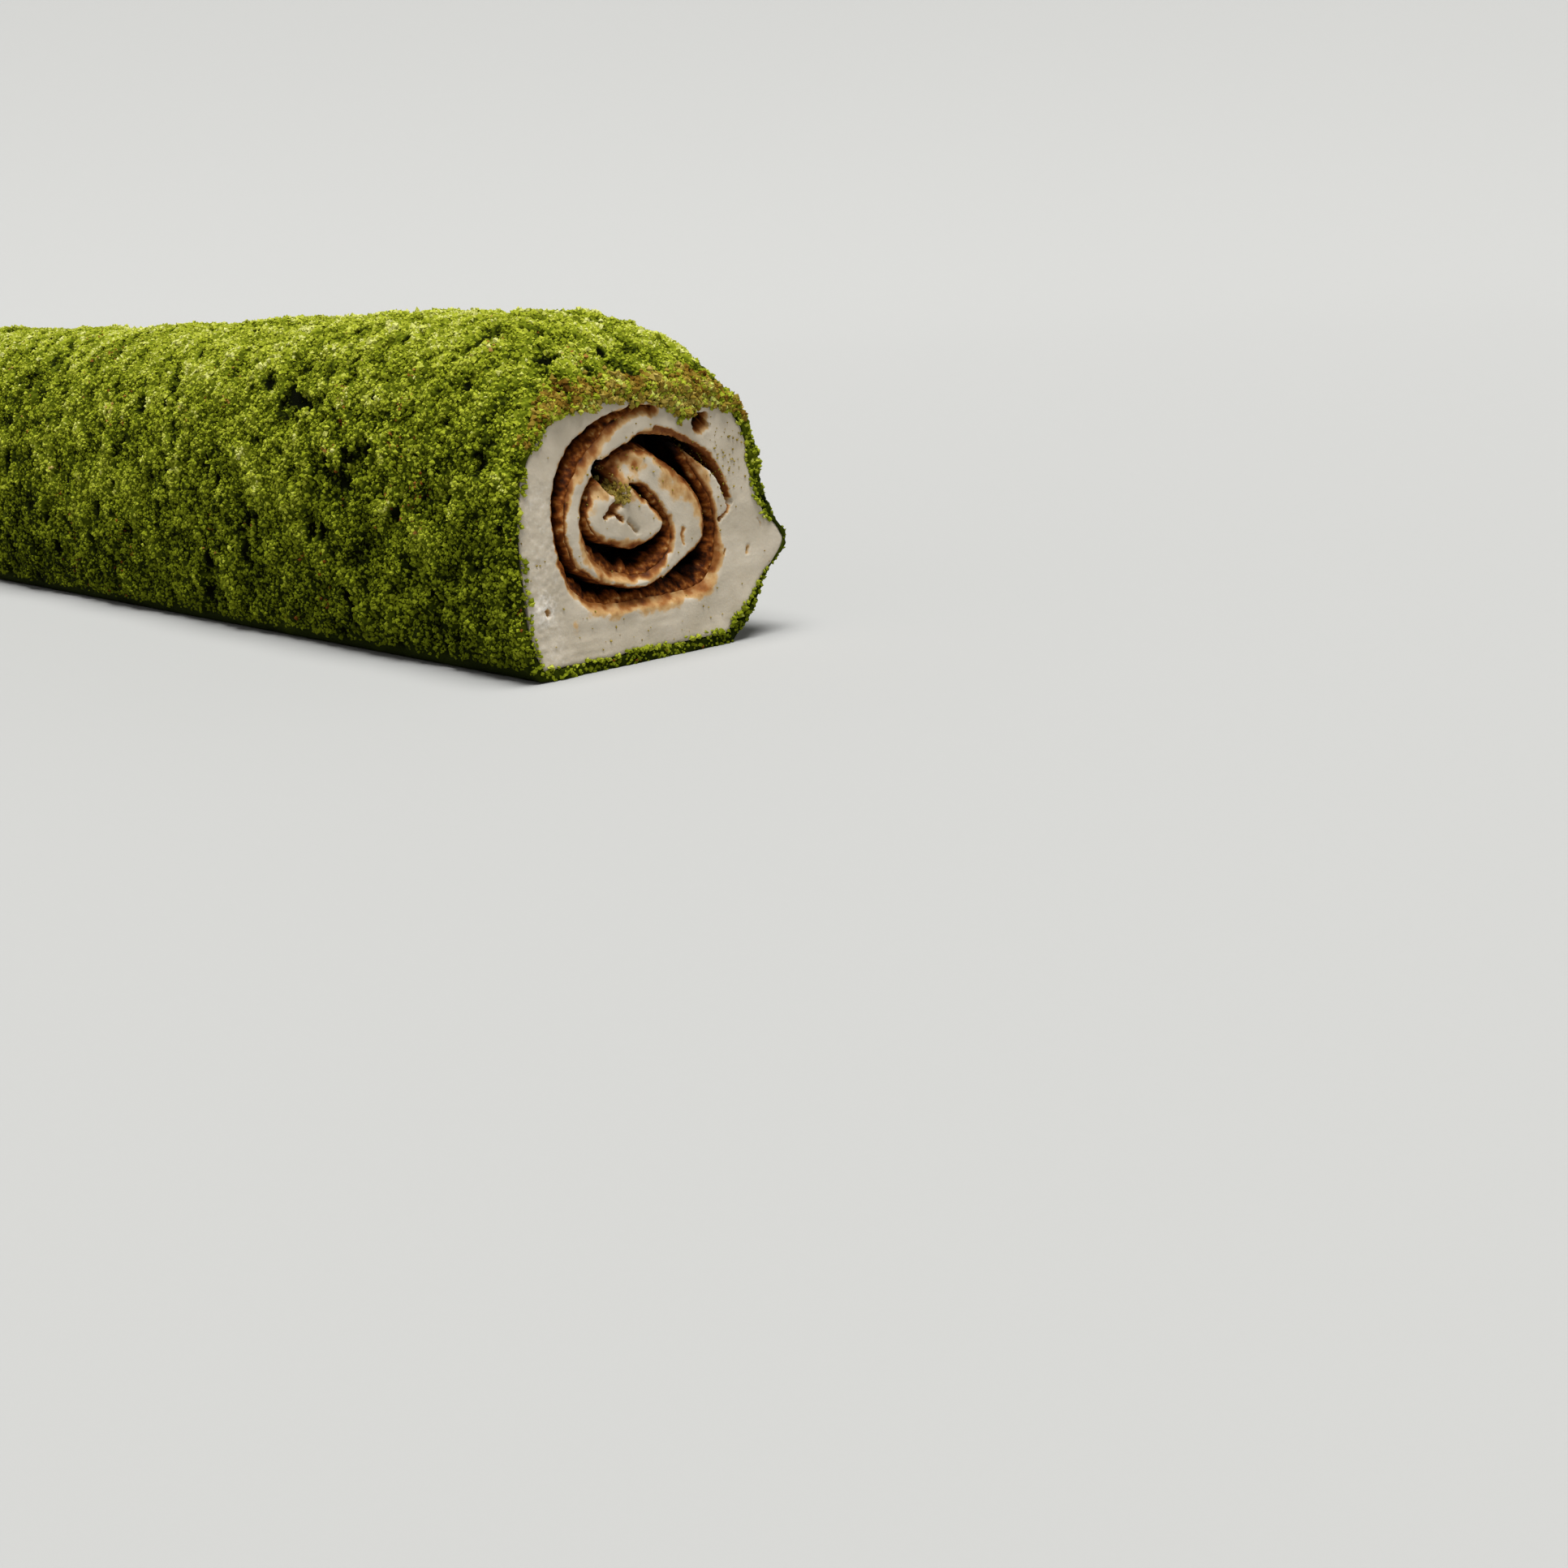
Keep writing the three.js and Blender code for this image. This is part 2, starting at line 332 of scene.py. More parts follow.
# %% The camera
NEAR_CORNER = np.array([HALF, -20.5, 0.6])  # the near cut's lower left corner
CAMERA_PLACE = NEAR_CORNER + (231.75, -156.91, 54.53)
CAMERA_RIGHT, CAMERA_UP, CAMERA_BACK = (
    (0.6599, 0.7487, -0.0628), (-0.1453, 0.2091, 0.9670), (0.7372, -0.6290, 0.2468))
FOCAL_PIXELS, FRAME_PIXELS, SENSOR = 2633, 1932, 36
camera_data = bpy.data.cameras.new("camera")
camera_data.sensor_width = SENSOR
camera_data.lens = FOCAL_PIXELS / FRAME_PIXELS * SENSOR
camera_data.clip_start = 10 * MM
camera = link(bpy.data.objects.new("camera", camera_data))
axes = Matrix([CAMERA_RIGHT, CAMERA_UP, CAMERA_BACK]).transposed()
camera.matrix_world = Matrix.Translation(Vector(CAMERA_PLACE * MM)) @ axes.to_4x4()
bpy.context.scene.camera = camera
bpy.context.scene.view_settings.view_transform = "Standard"
print("lens", round(camera_data.lens, 1), "mm")

# %% [markdown]
# ## Ground pistachio
# The nuts are ground to grains of a third of a millimetre to one. They are matt, bright
# yellow-green inside, darker where the skin clings, with a few tan and reddish flakes of skin.
# Each crumb carries one number, `tone`, which picks its colour from a ramp. The tone differs at
# random, and it is painted lower where the bed under the crumb lies low and low on the roll, for
# the shade there. Its grain is drawn as a bump, and a noise of 14 mm blobs changes the hue slowly
# over the roll.

# %% Ground pistachio materials
# The dark ends of these ramps are painted shade, for the hollows and the low side of the coat.
PISTACHIO_BED = [(0.05, "#050700"), (0.3, "#1C2302"), (0.55, "#4C560A"), (0.85, "#838B20")]
PISTACHIO_CRUMB = [(0.0, "#1E2402"), (0.22, "#4E570A"), (0.47, "#7D861B"), (0.74, "#A1A735"),
                   (1.0, "#BBBC70")]
SKIN_CRUMB = [(0.1, "#3E2008"), (0.4, "#744418"), (0.7, "#987236"), (1.0, "#B0A060")]
RIM_CRUMB = [(0.1, "#3C2208"), (0.35, "#6B5016"), (0.65, "#87752B"), (1.0, "#9F8D4A")]


def crumb_material(name, colours, key="tone"):
    """Ground nut: dry and rough, so it has almost no gloss."""
    material, tree = new_material(name, Roughness=0.95, Specular_IOR_Level=0.03)
    node = partial(add, tree)
    tone = node(ATTRIBUTE, {"attribute_name": key}).outputs["Fac"]
    place = node("ShaderNodeTexCoord").outputs["Object"]
    patch, grain = (
        node(NOISE, Vector=place, Scale=1 / (size * MM), Detail=3) for size in (14, 0.3))
    tone = node(MATH, MULTIPLY_ADD, patch, 0.5, tone)
    tone = node(MATH, SUBTRACT, tone, 0.25)
    colour = node(RAMP, {"stops": colours}, tone)
    finish_material(tree, colour.outputs[0], grain, 0.5, 0.2)
    return material


# the bed's colour follows the painted shade that its relief tree keeps as height
bed_material = crumb_material("ground_pistachio_bed", PISTACHIO_BED, "height")
crumb_green = crumb_material("ground_pistachio_crumb", PISTACHIO_CRUMB)
crumb_skin = crumb_material("pistachio_skin_crumb", SKIN_CRUMB)
crumb_rim = crumb_material("pale_pistachio_crumb", RIM_CRUMB)

# %% [markdown]
# ## The coat's bed
# Under the loose crumbs the coat is one crust. It is a grid laid over the coat's outline, so it
# has the solid's form, and Geometry Nodes push it in and out: wide lumps, clumps, round grains
# from a Voronoi texture, and a few deep gaps between the clumps.

# %% The coat's outline and unevenness
BASE_STEPS = 8
NOSE, NOSE_SIZE = np.array([21.5, 12.8]), 3.6


def coat_ring(pitch):
    """The delight's outline closed by its base, its outward directions and the coat on it."""
    side_steps = int(SIDES_LENGTH / pitch)
    sides = spline(CORE_OUTLINE, side_steps)
    _, out = grow(sides, 0)
    share = np.linspace(0, 1, BASE_STEPS + 2)[1:-1, None]
    base = sides[-1] + share * (sides[0] - sides[-1])
    ring = np.vstack([sides, base])
    out = np.vstack([out, np.tile([0.0, -1.0], (BASE_STEPS, 1))])
    corner = [0, side_steps - 1]
    out[corner] = unit(out[corner] + (0, -1))
    beyond = np.maximum(THIN_FROM - ring[:, 1], ring[:, 1] - THIN_TO)
    beyond = np.where(ring[:, 0] < 0, THIN_FADE, beyond)
    return ring, out, THIN_COAT + (COAT - THIN_COAT) * ease(0, THIN_FADE, beyond)


def lump(x, y, z):
    """The coat's low swellings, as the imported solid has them."""
    coarse = np.sin(0.55 * x + 2.1 * np.sin(0.21 * y + 1)) * np.sin(0.47 * z - 0.31 * y)
    fine = np.sin(1.31 * x - 0.9 * z) * np.cos(1.07 * y + 0.63 * x + 0.4 * z)
    long = np.cos(2 * np.pi * (x + 0.25 * y + 10) / 40) * ease(0, 40, HALF - np.abs(x))
    return 0.24 * (coarse + 0.8 * fine) + 0.32 * long


def nose_share(points):
    """How near points of the outline are to the nose, where the coat is thinnest at the cuts."""
    return ease(1.25, 0.55, np.linalg.norm(points - NOSE, axis=1) / NOSE_SIZE)


def cut_recess(points, end):
    """How far the coat's edge keeps back from the cut, ragged all round."""
    solid = in_space(points, 60.0 * end)
    ragged = 0.25 + 0.3 * noise(solid, 2.5, 61) + 0.2 * noise(solid, 0.9, 62)
    ragged *= 1 - 0.8 * ease(32, 38, points[:, 1])
    return np.maximum(0.05, ragged)


# %% Lay out the bed
BASE_FADE = 3.0  # the relief fades in over this height, so that the roll lies flat
EDGE_SHARES = (0.75, 0.5, 0.25)  # how far out the rows over a cut edge lie
INSIDE_ROWS = 9
BEDS = [  # name, start, end and pitch, finest at the cut that faces the camera
    ("bed_near", HALF - 34, HALF, 0.27), ("bed_front", HALF - 72, HALF - 34, 0.36),
    ("bed_middle", -HALF + 70, HALF - 72, 0.46), ("bed_far", -HALF, -HALF + 70, 0.42),
]


def coat_piece(name, start, end, pitch):
    """One length of the coat: its outside, its two cut edges and its inside, row by row."""
    ring, out, coat = coat_ring(pitch)
    rise = ease(0, BASE_FADE, ring[:, 1] - BASE_HEIGHT)
    rows = {key: [] for key in ("points", "outward", "relief", "cover", "floor")}

    def row(level, share, facing):
        """A row at a level, from share 0 inside to 1 outside, that faces a cut or not."""
        settled = ease(HALF - 8, HALF, np.abs(level))
        x = level - np.sign(level) * settled * cut_recess(ring, np.sign(level))
        grown = ring + out * coat[:, None]
        heap = lump(x, grown[:, 0], grown[:, 1]) * ease(0.4, 4, grown[:, 1])
        thick = coat + heap * (coat / COAT) ** 2
        flat = ring + out * (SEAM + (thick - SEAM) * share)[:, None]
        y, z = bend(x, flat[:, 0], flat[:, 1])
        z = np.maximum(z, BASE_HEIGHT - COAT)
        rows["points"].append(np.stack([x, y + SHIFT[0], z + SHIFT[1]], 1))
        rows["outward"].append(unit(in_space(out * (1 - 0.5 * abs(facing)), facing)))
        shown = share == 1 or facing != 0
        rows["relief"].append(shown * rise * np.minimum(1, share + 0.2) * (coat / COAT))
        near = 0.7 + 0.3 * ease(-36, 24, x)
        bare = 0.75 * nose_share(ring) * ease(HALF - 4, HALF, x)
        rows["cover"].append((1 - bare) * near * shown * ease(
            0.1, 0.5, rise + 0.5 * abs(facing)))
        rows["floor"].append(np.maximum(0.1, thick * share - 0.45) * MM)

    def cut_edge(x, shares):
        if abs(abs(x) - HALF) < 0.01:
            for share in shares:
                row(x, share, np.sign(x))

    for x in np.linspace(start, end, int(round((end - start) / pitch)) + 1):
        row(x, 1.0, 0.7 * np.sign(x) * (abs(abs(x) - HALF) < 0.01))
    cut_edge(end, EDGE_SHARES)
    for x in np.linspace(end, start, INSIDE_ROWS):
        row(x, 0.0, 0)
    cut_edge(start, EDGE_SHARES[::-1])
    joined = {key: np.concatenate(values) for key, values in rows.items()}
    points = joined.pop("points")
    numbers = np.arange(len(points)).reshape(-1, len(ring))
    return make_mesh(name, points, grid_faces(numbers, True, True), joined)


smooth_bed = [coat_piece(*row) for row in BEDS]
print("bed", [(piece.name, 2 * len(piece.data.polygons)) for piece in smooth_bed], "triangles")


# %% Helpers for Geometry Nodes
def new_tree(name, **inputs):
    """A Geometry Nodes tree with a geometry in and out, and the inputs' names by kind."""
    tree = bpy.data.node_groups.new(name, "GeometryNodeTree")
    sockets = [("INPUT", "Geometry", ["Geometry"]), ("OUTPUT", "Geometry", ["Geometry"])]
    for way, kind, labels in sockets + [("INPUT", *item) for item in inputs.items()]:
        for label in labels:
            tree.interface.new_socket(label, in_out=way, socket_type="NodeSocket" + kind)
    return tree, tree.nodes.new("NodeGroupInput").outputs


def finish_tree(tree, geometry, material):
    real = add(tree, REALIZE, None, geometry)
    done = add(tree, "GeometryNodeSetMaterial", Geometry=real, Material=material)
    add(tree, "NodeGroupOutput", None, done)


def run_tree(piece, tree, values, name):
    """Runs a tree on a piece and returns the result as a new plain mesh object."""
    modifier = piece.modifiers.new("shape", "NODES")
    modifier.node_group = tree
    for item in tree.interface.items_tree:
        if item.in_out == "INPUT" and item.name in values:
            modifier[item.identifier] = values[item.name]
    bpy.context.view_layer.update()
    graph = bpy.context.evaluated_depsgraph_get()
    mesh = bpy.data.meshes.new_from_object(piece.evaluated_get(graph), depsgraph=graph)
    piece.modifiers.remove(modifier)
    finish = mesh.materials[-1]
    mesh.materials.clear()
    mesh.materials.append(finish)
    mesh.polygons.foreach_set("material_index", np.zeros(len(mesh.polygons), np.int32))
    return link(bpy.data.objects.new(name, mesh))


# %% Give the bed its relief
def bed_tree():
    tree, given = new_tree("pistachio_bed_relief", Material=["Material"], Float=[
        "Grain", "Clump", "Gap", "Grain height", "Clump height", "Gap depth"])
    node = partial(add, tree)
    place = node("GeometryNodeInputPosition")
    relief, floor, cover, outward = (
        node(NAMED, {"data_type": kind}, key) for key, kind in (
            ("relief", "FLOAT"), ("floor", "FLOAT"), ("cover", "FLOAT"), ("outward", "FLOAT_VECTOR")))
    per_grain, per_clump, per_gap = (
        node(MATH, DIVIDE, 1.0, given[key]) for key in ("Grain", "Clump", "Gap"))
    clumps = node(NOISE, Vector=place, Scale=per_clump, Detail=3)
    warp = node(NOISE, Vector=place, Scale=per_grain, Detail=1).outputs[1]
    warped = node(VECTOR_MATH, MULTIPLY_ADD, warp, (0.6 * MM,) * 3, place)
    cells = node("ShaderNodeTexVoronoi", Vector=warped, Scale=per_grain)
    grains = node(MATH, SUBTRACT, 0.45, cells)
    squeezed = node(VECTOR_MATH, MULTIPLY, place, (1.0, 1.0, 0.55))
    hollows = node(NOISE, Vector=squeezed, Scale=per_gap, Detail=2)
    gaps = node(RANGE, SMOOTH, hollows, 0.41, 0.32, 0.0, 1.0)
    # the height: clumps, grains on them, and gaps dug out, but never deeper than the coat
    high = node(MATH, SUBTRACT, clumps, 0.5)
    high = node(MATH, MULTIPLY, high, given["Clump height"])
    high = node(MATH, MULTIPLY_ADD, grains, given["Grain height"], high)
    dug = node(MATH, MULTIPLY, gaps, given["Gap depth"])
    high = node(MATH, SUBTRACT, high, dug)
    high = node(MATH, MULTIPLY, high, relief)
    high = node(MATH, MAXIMUM, high, node(MATH, MULTIPLY, floor, -1.0))
    push = node(VECTOR_MATH, SCALE, outward, Scale=high)
    moved = node(MOVE, Geometry=given["Geometry"], Offset=push)
    # the painted shade, kept as height: dark in the gaps and low on the roll; and no loose crumbs lie
    # in the gaps
    shade = node(RANGE, None, high, -0.7 * MM, 0.6 * MM, 0.0, 1.0)
    upright = node("ShaderNodeSeparateXYZ", Vector=place).outputs["Z"]
    darker = node(RANGE, None, upright, 5 * MM, 45 * MM, 0.5, 1.12)
    shade = node(MATH, MULTIPLY, shade, darker)
    cover = node(MATH, MULTIPLY, cover, node(MATH, SUBTRACT, 1.0, gaps))
    for key, value in (("height", shade), ("cover", cover)):
        moved = node("GeometryNodeStoreNamedAttribute", Geometry=moved, Name=key, Value=value)
    finish_tree(tree, moved, given["Material"])
    return tree


BED_RELIEF = {"Grain": 0.7 * MM, "Clump": 3.6 * MM, "Gap": 3.6 * MM, "Grain height": 0.75 * MM,
              "Clump height": 2.4 * MM, "Gap depth": 1.3 * MM, "Material": bed_material}
relief_tree = bed_tree()
bed = [run_tree(piece, relief_tree, BED_RELIEF, "pistachio_" + piece.name) for piece in smooth_bed]
for piece in smooth_bed:
    bpy.data.objects.remove(piece)
print("relief on", [piece.name for piece in bed])

# %% [markdown]
# ## The loose crumbs
# Over the bed lie the crumbs themselves, as real small meshes. Geometry Nodes scatter points over
# the bed, put an eight-sided ball on each, turn it, size it and dent it. One tree makes all kinds:
# only the number, the size, the seed and the material change. The density comes from the number
# wanted and the area to cover, so that no kind grows too heavy.

# %% The tree that scatters crumbs
TONE_SEED = 7


def crumb_tree():
    tree, given = new_tree(
        "crumbs", Collection=["Ground"], String=["Cover"], Int=["Seed"], Material=["Material"],
        Float=["Density", "Smallest", "Largest", "Dent", "Lift"])
    node = partial(add, tree)
    ground = node("GeometryNodeCollectionInfo", Collection=given["Ground"])
    ground = node(REALIZE, None, ground)
    cover, height = (node(NAMED, {"data_type": "FLOAT"}, key)
                     for key in (given["Cover"], "height"))
    density = node(MATH, MULTIPLY, cover, given["Density"])
    points = node("GeometryNodeDistributePointsOnFaces", Mesh=ground, Density=density,
                  Seed=given["Seed"])
    turn, stretch = (
        node(RANDOM, {"data_type": "FLOAT_VECTOR"}, (low,) * 3, (high,) * 3,
             Seed=given["Seed"]) for low, high in ((0, 2 * math.pi), (0.65, 1.45)))
    chance, tone = (
        node(RANDOM, {"data_type": "FLOAT"}, Seed=seed).outputs[1]
        for seed in (given["Seed"], TONE_SEED))
    chance = node(MATH, POWER, chance, 1.6)  # most are small
    size = node(RANGE, None, chance, 0.0, 1.0, given["Smallest"], given["Largest"])
    ball = node("GeometryNodeMeshUVSphere", Radius=0.5, Segments=4, Rings=2)
    stretched = node(VECTOR_MATH, SCALE, stretch, Scale=size)
    raised = node(MATH, MULTIPLY, size, given["Lift"])
    offset = node(VECTOR_MATH, SCALE, points.outputs["Normal"], Scale=raised)
    placed = node(MOVE, Geometry=points, Offset=offset)
    balls = node("GeometryNodeInstanceOnPoints", Points=placed, Instance=ball, Rotation=turn,
                 Scale=stretched)
    # each crumb's tone: a random share times the painted shade kept as height on the ground under it
    tone = node(MATH, MULTIPLY_ADD, tone, 0.5, 0.8)
    tone = node(MATH, MULTIPLY, height, tone)
    toned = node("GeometryNodeStoreNamedAttribute", {"domain": "INSTANCE"}, Geometry=balls,
                 Name="tone", Value=tone)
    real = node(REALIZE, None, toned)
    place = node("GeometryNodeInputPosition")
    dents = node(NOISE, Vector=place, Scale=1 / (0.5 * MM), Detail=0).outputs[1]
    dents = node(VECTOR_MATH, SUBTRACT, dents, (0.5, 0.5, 0.5))
    dents = node(VECTOR_MATH, SCALE, dents, Scale=given["Dent"])
    dented = node(MOVE, Geometry=real, Offset=dents)
    chipped = node("GeometryNodeSetShadeSmooth", Geometry=dented, Shade_Smooth=False)
    finish_tree(tree, chipped, given["Material"])
    return tree


def covered_area(pieces, key):
    """The area in square metres to strew, weighted by the attribute that gives the cover."""
    total = 0.0
    for mesh in (piece.data for piece in pieces):
        mesh.calc_loop_triangles()
        found = mesh.loop_triangles
        areas, corners = np.empty(len(found)), np.empty(3 * len(found), np.int32)
        found.foreach_get("area", areas)
        found.foreach_get("vertices", corners)
        total += (areas * read(mesh, key)[corners].reshape(-1, 3).mean(1)).sum()
    return total


def strew(name, ground, key, number, sizes, seed, material, raised=0.05):
    """Strews number crumbs, of the smallest and largest size in millimetres, over the ground."""
    holder = bpy.data.collections.new(name)
    for piece in ground:
        holder.objects.link(piece)
    carrier = make_mesh("carrier", [(0, 0, 0)], [])
    made = run_tree(carrier, scatter_tree, {
        "Ground": holder, "Density": number / covered_area(ground, key), "Cover": key,
        "Smallest": sizes[0] * MM, "Largest": sizes[1] * MM, "Dent": 0.5 * sizes[0] * MM,
        "Lift": raised, "Seed": seed, "Material": material}, name)
    bpy.data.objects.remove(carrier)
    bpy.data.collections.remove(holder)
    print(name, len(made.data.polygons), "triangles")
    return made


scatter_tree = crumb_tree()

# %% Say where the rarer crumbs lie
for piece in bed:
    points = read(piece.data, "position") / MM
    clusters = noise(points, 7.0, 51) + 0.5 * noise(points, 2.0, 52)
    paint(piece.data, "skins", read(piece.data, "cover") * ease(0.4, 0.9, clusters))
    from_cut = HALF - np.abs(points[:, 0]) + 1.5 * noise(points, 3.0, 53)
    upper = ease(30, 35, points[:, 2] + 1.5 * noise(points, 5.0, 54))
    for key in ("dust", "rim"):
        paint(piece.data, key, upper * (1 - ease(0.6, 2.6, from_cut)))

# %% Strew the coat's crumbs
CRUMBS = 23500  # the number of each of the first four kinds, eight triangles each; as many as one piece may hold
COAT_CRUMBS = [  # name, number, smallest and largest size
    ("pistachio_crumbs_large", CRUMBS, (0.5, 0.95)),
    ("pistachio_crumbs_medium", CRUMBS, (0.42, 0.8)),
    ("pistachio_crumbs_small", CRUMBS, (0.38, 0.7)),
    ("pistachio_crumbs_smaller", CRUMBS, (0.35, 0.65)),
    ("pistachio_crumbs_fine", 17000, (0.32, 0.55)),
]
SKIN_CRUMBS, SKIN_SIZES = 900, (0.4, 0.7)
coat_crumbs = []
for place, (name, number, sizes) in enumerate(COAT_CRUMBS):
    coat_crumbs.append(strew(name, bed, "cover", number, sizes, 11 + place, crumb_green))
coat_crumbs.append(
    strew("pistachio_skin_crumbs", bed, "skins", SKIN_CRUMBS, SKIN_SIZES, 17, crumb_skin))

# %% [markdown]
# ## The gap between the turns
# The sheet of delight is spread with cocoa cream and rolled up, but its turns don't quite meet: on
# the cut there is an open spiral. Its two edges are given as distances from the spiral's middle,
# every 22.5 degrees, and every layer that touches the gap uses the same two ragged edges.

# %% The gap's edges
GAP_CENTRE = np.array([-3.4, 20.4])
GAP_START, GAP_STEP = 70.0, 22.5
GAP_KEYS = [  # radius of both edges, share of the gap that cream fills at each, smear past each
    (13.8, 13.5, 0.50, 0.50, 0.8, 0.6), (13.3, 12.4, 0.06, 0.30, 0.6, 0.6),
    (13.3, 10.8, 0.05, 0.34, 0.3, 0.9), (13.4, 10.7, 0.06, 0.40, 0.3, 0.9),
    (13.6, 11.1, 0.10, 0.44, 0.2, 0.5), (13.5, 11.7, 0.36, 0.36, 0.2, 0.3),
    (13.7, 11.7, 0.50, 0.24, 0.6, 0.4), (13.9, 11.0, 0.70, 0.06, 1.7, 0.4),
    (12.6, 10.2, 0.76, 0.05, 1.8, 0.3), (11.9, 10.2, 0.76, 0.05, 1.8, 0.3),
    (13.2, 10.2, 0.75, 0.05, 1.7, 0.2), (16.1, 10.9, 0.63, 0.05, 1.6, 0.2),
    (15.2, 12.9, 0.58, 0.16, 0.7, 0.7), (13.2, 11.6, 0.40, 0.12, 0.4, 1.2),
    (12.0, 9.5, 0.36, 0.06, 0.6, 1.2), (11.7, 8.2, 0.10, 0.05, 0.7, 0.9),
    (10.3, 8.0, 0.22, 0.05, 1.4, 0.6), (8.9, 7.6, 0.05, 0.05, 0.5, 0.5),
    (8.4, 6.8, 0.05, 0.05, 0.2, 1.2), (8.4, 6.9, 0.05, 0.05, 0.2, 0.8),
    (8.7, 7.4, 0.25, 0.25, 0.3, 0.6), (9.0, 7.8, 0.45, 0.40, 0.4, 0.2),
    (8.8, 6.5, 0.50, 0.24, 1.3, 0.5), (8.7, 5.3, 0.62, 0.05, 1.8, 1.0),
    (8.3, 4.9, 0.58, 0.05, 1.8, 1.1), (8.6, 4.7, 0.62, 0.05, 1.3, 1.0),
    (8.4, 4.7, 0.58, 0.05, 0.8, 0.5), (7.8, 5.1, 0.48, 0.05, 0.5, 0.3),
    (6.6, 5.3, 0.50, 0.10, 0.5, 0.5), (5.0, 3.7, 0.56, 0.08, 0.4, 0.8),
    (4.1, 2.9, 0.56, 0.05, 0.4, 0.8), (3.8, 2.5, 0.56, 0.05, 0.4, 0.8),
    (3.8, 2.8, 0.60, 0.06, 0.4, 0.6), (3.7, 3.4, 0.50, 0.50, 0.3, 0.3),
]
EDGE_PITCH, EDGE_FINE = 0.3, 40  # the pitch of its columns, and fine steps for each key


def gap_edges():
    """Points that face each other over the gap, from its outer tip in, and the keys' other values."""
    fine = np.linspace(0, len(GAP_KEYS) - 1, EDGE_FINE * len(GAP_KEYS))
    angles = np.radians(GAP_START + GAP_STEP * fine)
    around = np.stack([np.cos(angles), np.sin(angles)], 1)
    values = spline_at(GAP_KEYS, fine)
    edges = [GAP_CENTRE + values[:, i:i + 1] * around for i in (0, 1)]
    middle = (edges[0] + edges[1]) / 2
    place = even_steps(middle, int(run_along(middle)[-1] / EDGE_PITCH))
    ragged = []
    for edge, seed in zip(edges, (3, 4)):
        points = between(edge, place)
        solid = in_space(points, 0)
        rough = 0.16 * noise(solid, 1.1, seed) + 0.07 * noise(solid, 0.45, seed + 10)
        ragged.append(grow(points, rough)[0])
    others = between(values, place)
    return *ragged, others[:, 2:4], others[:, 4:]


outer_edge, inner_edge, cream_share, gap_smear = gap_edges()
gap_width = np.linalg.norm(outer_edge - inner_edge, axis=1)
hole = np.vstack([inner_edge, outer_edge[::-1]])  # the whole gap, clockwise
print("gap", len(outer_edge), "columns,", gap_width.min().round(1), "to",
      gap_width.max().round(1), "mm wide")


# %% Helpers for flat shapes
def parts(points):
    """The points' numbers in parts, so that no table of distances grows too large."""
    return np.array_split(np.arange(len(points)), len(points) // 2000 + 1)


def inside(points, loop):
    """Whether each point lies within the closed loop."""
    a, b = loop, np.roll(loop, -1, axis=0)
    slope = (b[:, 0] - a[:, 0]) / np.where(a[:, 1] == b[:, 1], 1e-9, b[:, 1] - a[:, 1])
    result = np.empty(len(points), bool)
    for part in parts(points):
        y, z = points[part, 0:1], points[part, 1:2]
        crossed = ((a[:, 1] > z) != (b[:, 1] > z)) & (y < a[:, 0] + (z - a[:, 1]) * slope)
        result[part] = crossed.sum(1) % 2 == 1
    return result


def nearest(points, line):
    """Each point's distance to a finely divided line, and which of its points is the nearest."""
    away, index = np.empty(len(points)), np.empty(len(points), int)
    for part in parts(points):
        apart = ((points[part, None, :] - line[None, :, :]) ** 2).sum(2)
        away[part], index[part] = np.sqrt(apart.min(1)), apart.argmin(1)
    return away, index


def distance(points, line):
    return nearest(points, line)[0]


def lower(height):
    """The opposite of lift."""
    return height - np.maximum(0, height - FOOT) * DROP / (CREST - FOOT)


def place_in_roll(x, across, height):
    """Points of the roll from a place along it and one on the cut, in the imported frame."""
    y, z = bend(x, across, lift(height))
    return np.stack([np.broadcast_to(x, y.shape), y + SHIFT[0], z + SHIFT[1]], -1)


# %% [markdown]
# ## The delight on the cut
# A cut face isn't flat: the knife leaves faint lines, the turns' edges are torn and rounded, and
# there are a few splits and a pit. So the face is a fine net of triangles between the outline and
# the gap, from Blender's Delaunay tool, and every corner is then pushed in by its own depth.

# %% Measure the cut
FACE_PITCH = 0.3
SLIVER = 0.001  # twice the area below which a triangle is only a part of the straight base line
NOSE_OUT = 0.35  # how far the nose stands out into the thin coat that it has at the cuts
CUT_BACK = 0.1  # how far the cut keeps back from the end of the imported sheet


def cut_outline(stand_out):
    """The delight's outline on a cut, counterclockwise from the near end of its base."""
    side = spline(CORE_OUTLINE, int(SIDES_LENGTH / FACE_PITCH))
    ragged = (stand_out > 0) * 0.22 * noise(in_space(side, 0), 1.6, 37)
    side = grow(side, stand_out * nose_share(side) - SEAM + ragged)[0]
    base = np.linspace(side[-1], side[0], int(BASE_LENGTH / FACE_PITCH))[1:-1]
    loop = np.vstack([side, base])[::-1]
    return np.stack([loop[:, 0], lower(loop[:, 1])], 1)


outline, outline_inside = cut_outline(NOSE_OUT), cut_outline(0.0)
rims = np.vstack([outline, hole])
print("outline", np.ptp(outline, axis=0).round(1), "mm across and up")


# %% Triangulate the cut
def staggered_grid():
    """Points in staggered rows, a little jumbled, on the delight and clear of both rims."""
    rows = np.arange(1.8, 37, FACE_PITCH * math.sqrt(3) / 2)
    grid = np.array([(y + (row % 2) * FACE_PITCH / 2, z) for row, z in enumerate(rows)
                     for y in np.arange(-23, 23, FACE_PITCH)])
    grid = grid + 0.25 * FACE_PITCH * np.random.default_rng(5).uniform(-1, 1, grid.shape)
    grid = grid[inside(grid, outline) & ~inside(grid, hole)]
    return grid[distance(grid, rims) > 0.6 * FACE_PITCH]


def ring_edges(start, count):
    return [(start + i, start + (i + 1) % count) for i in range(count)]


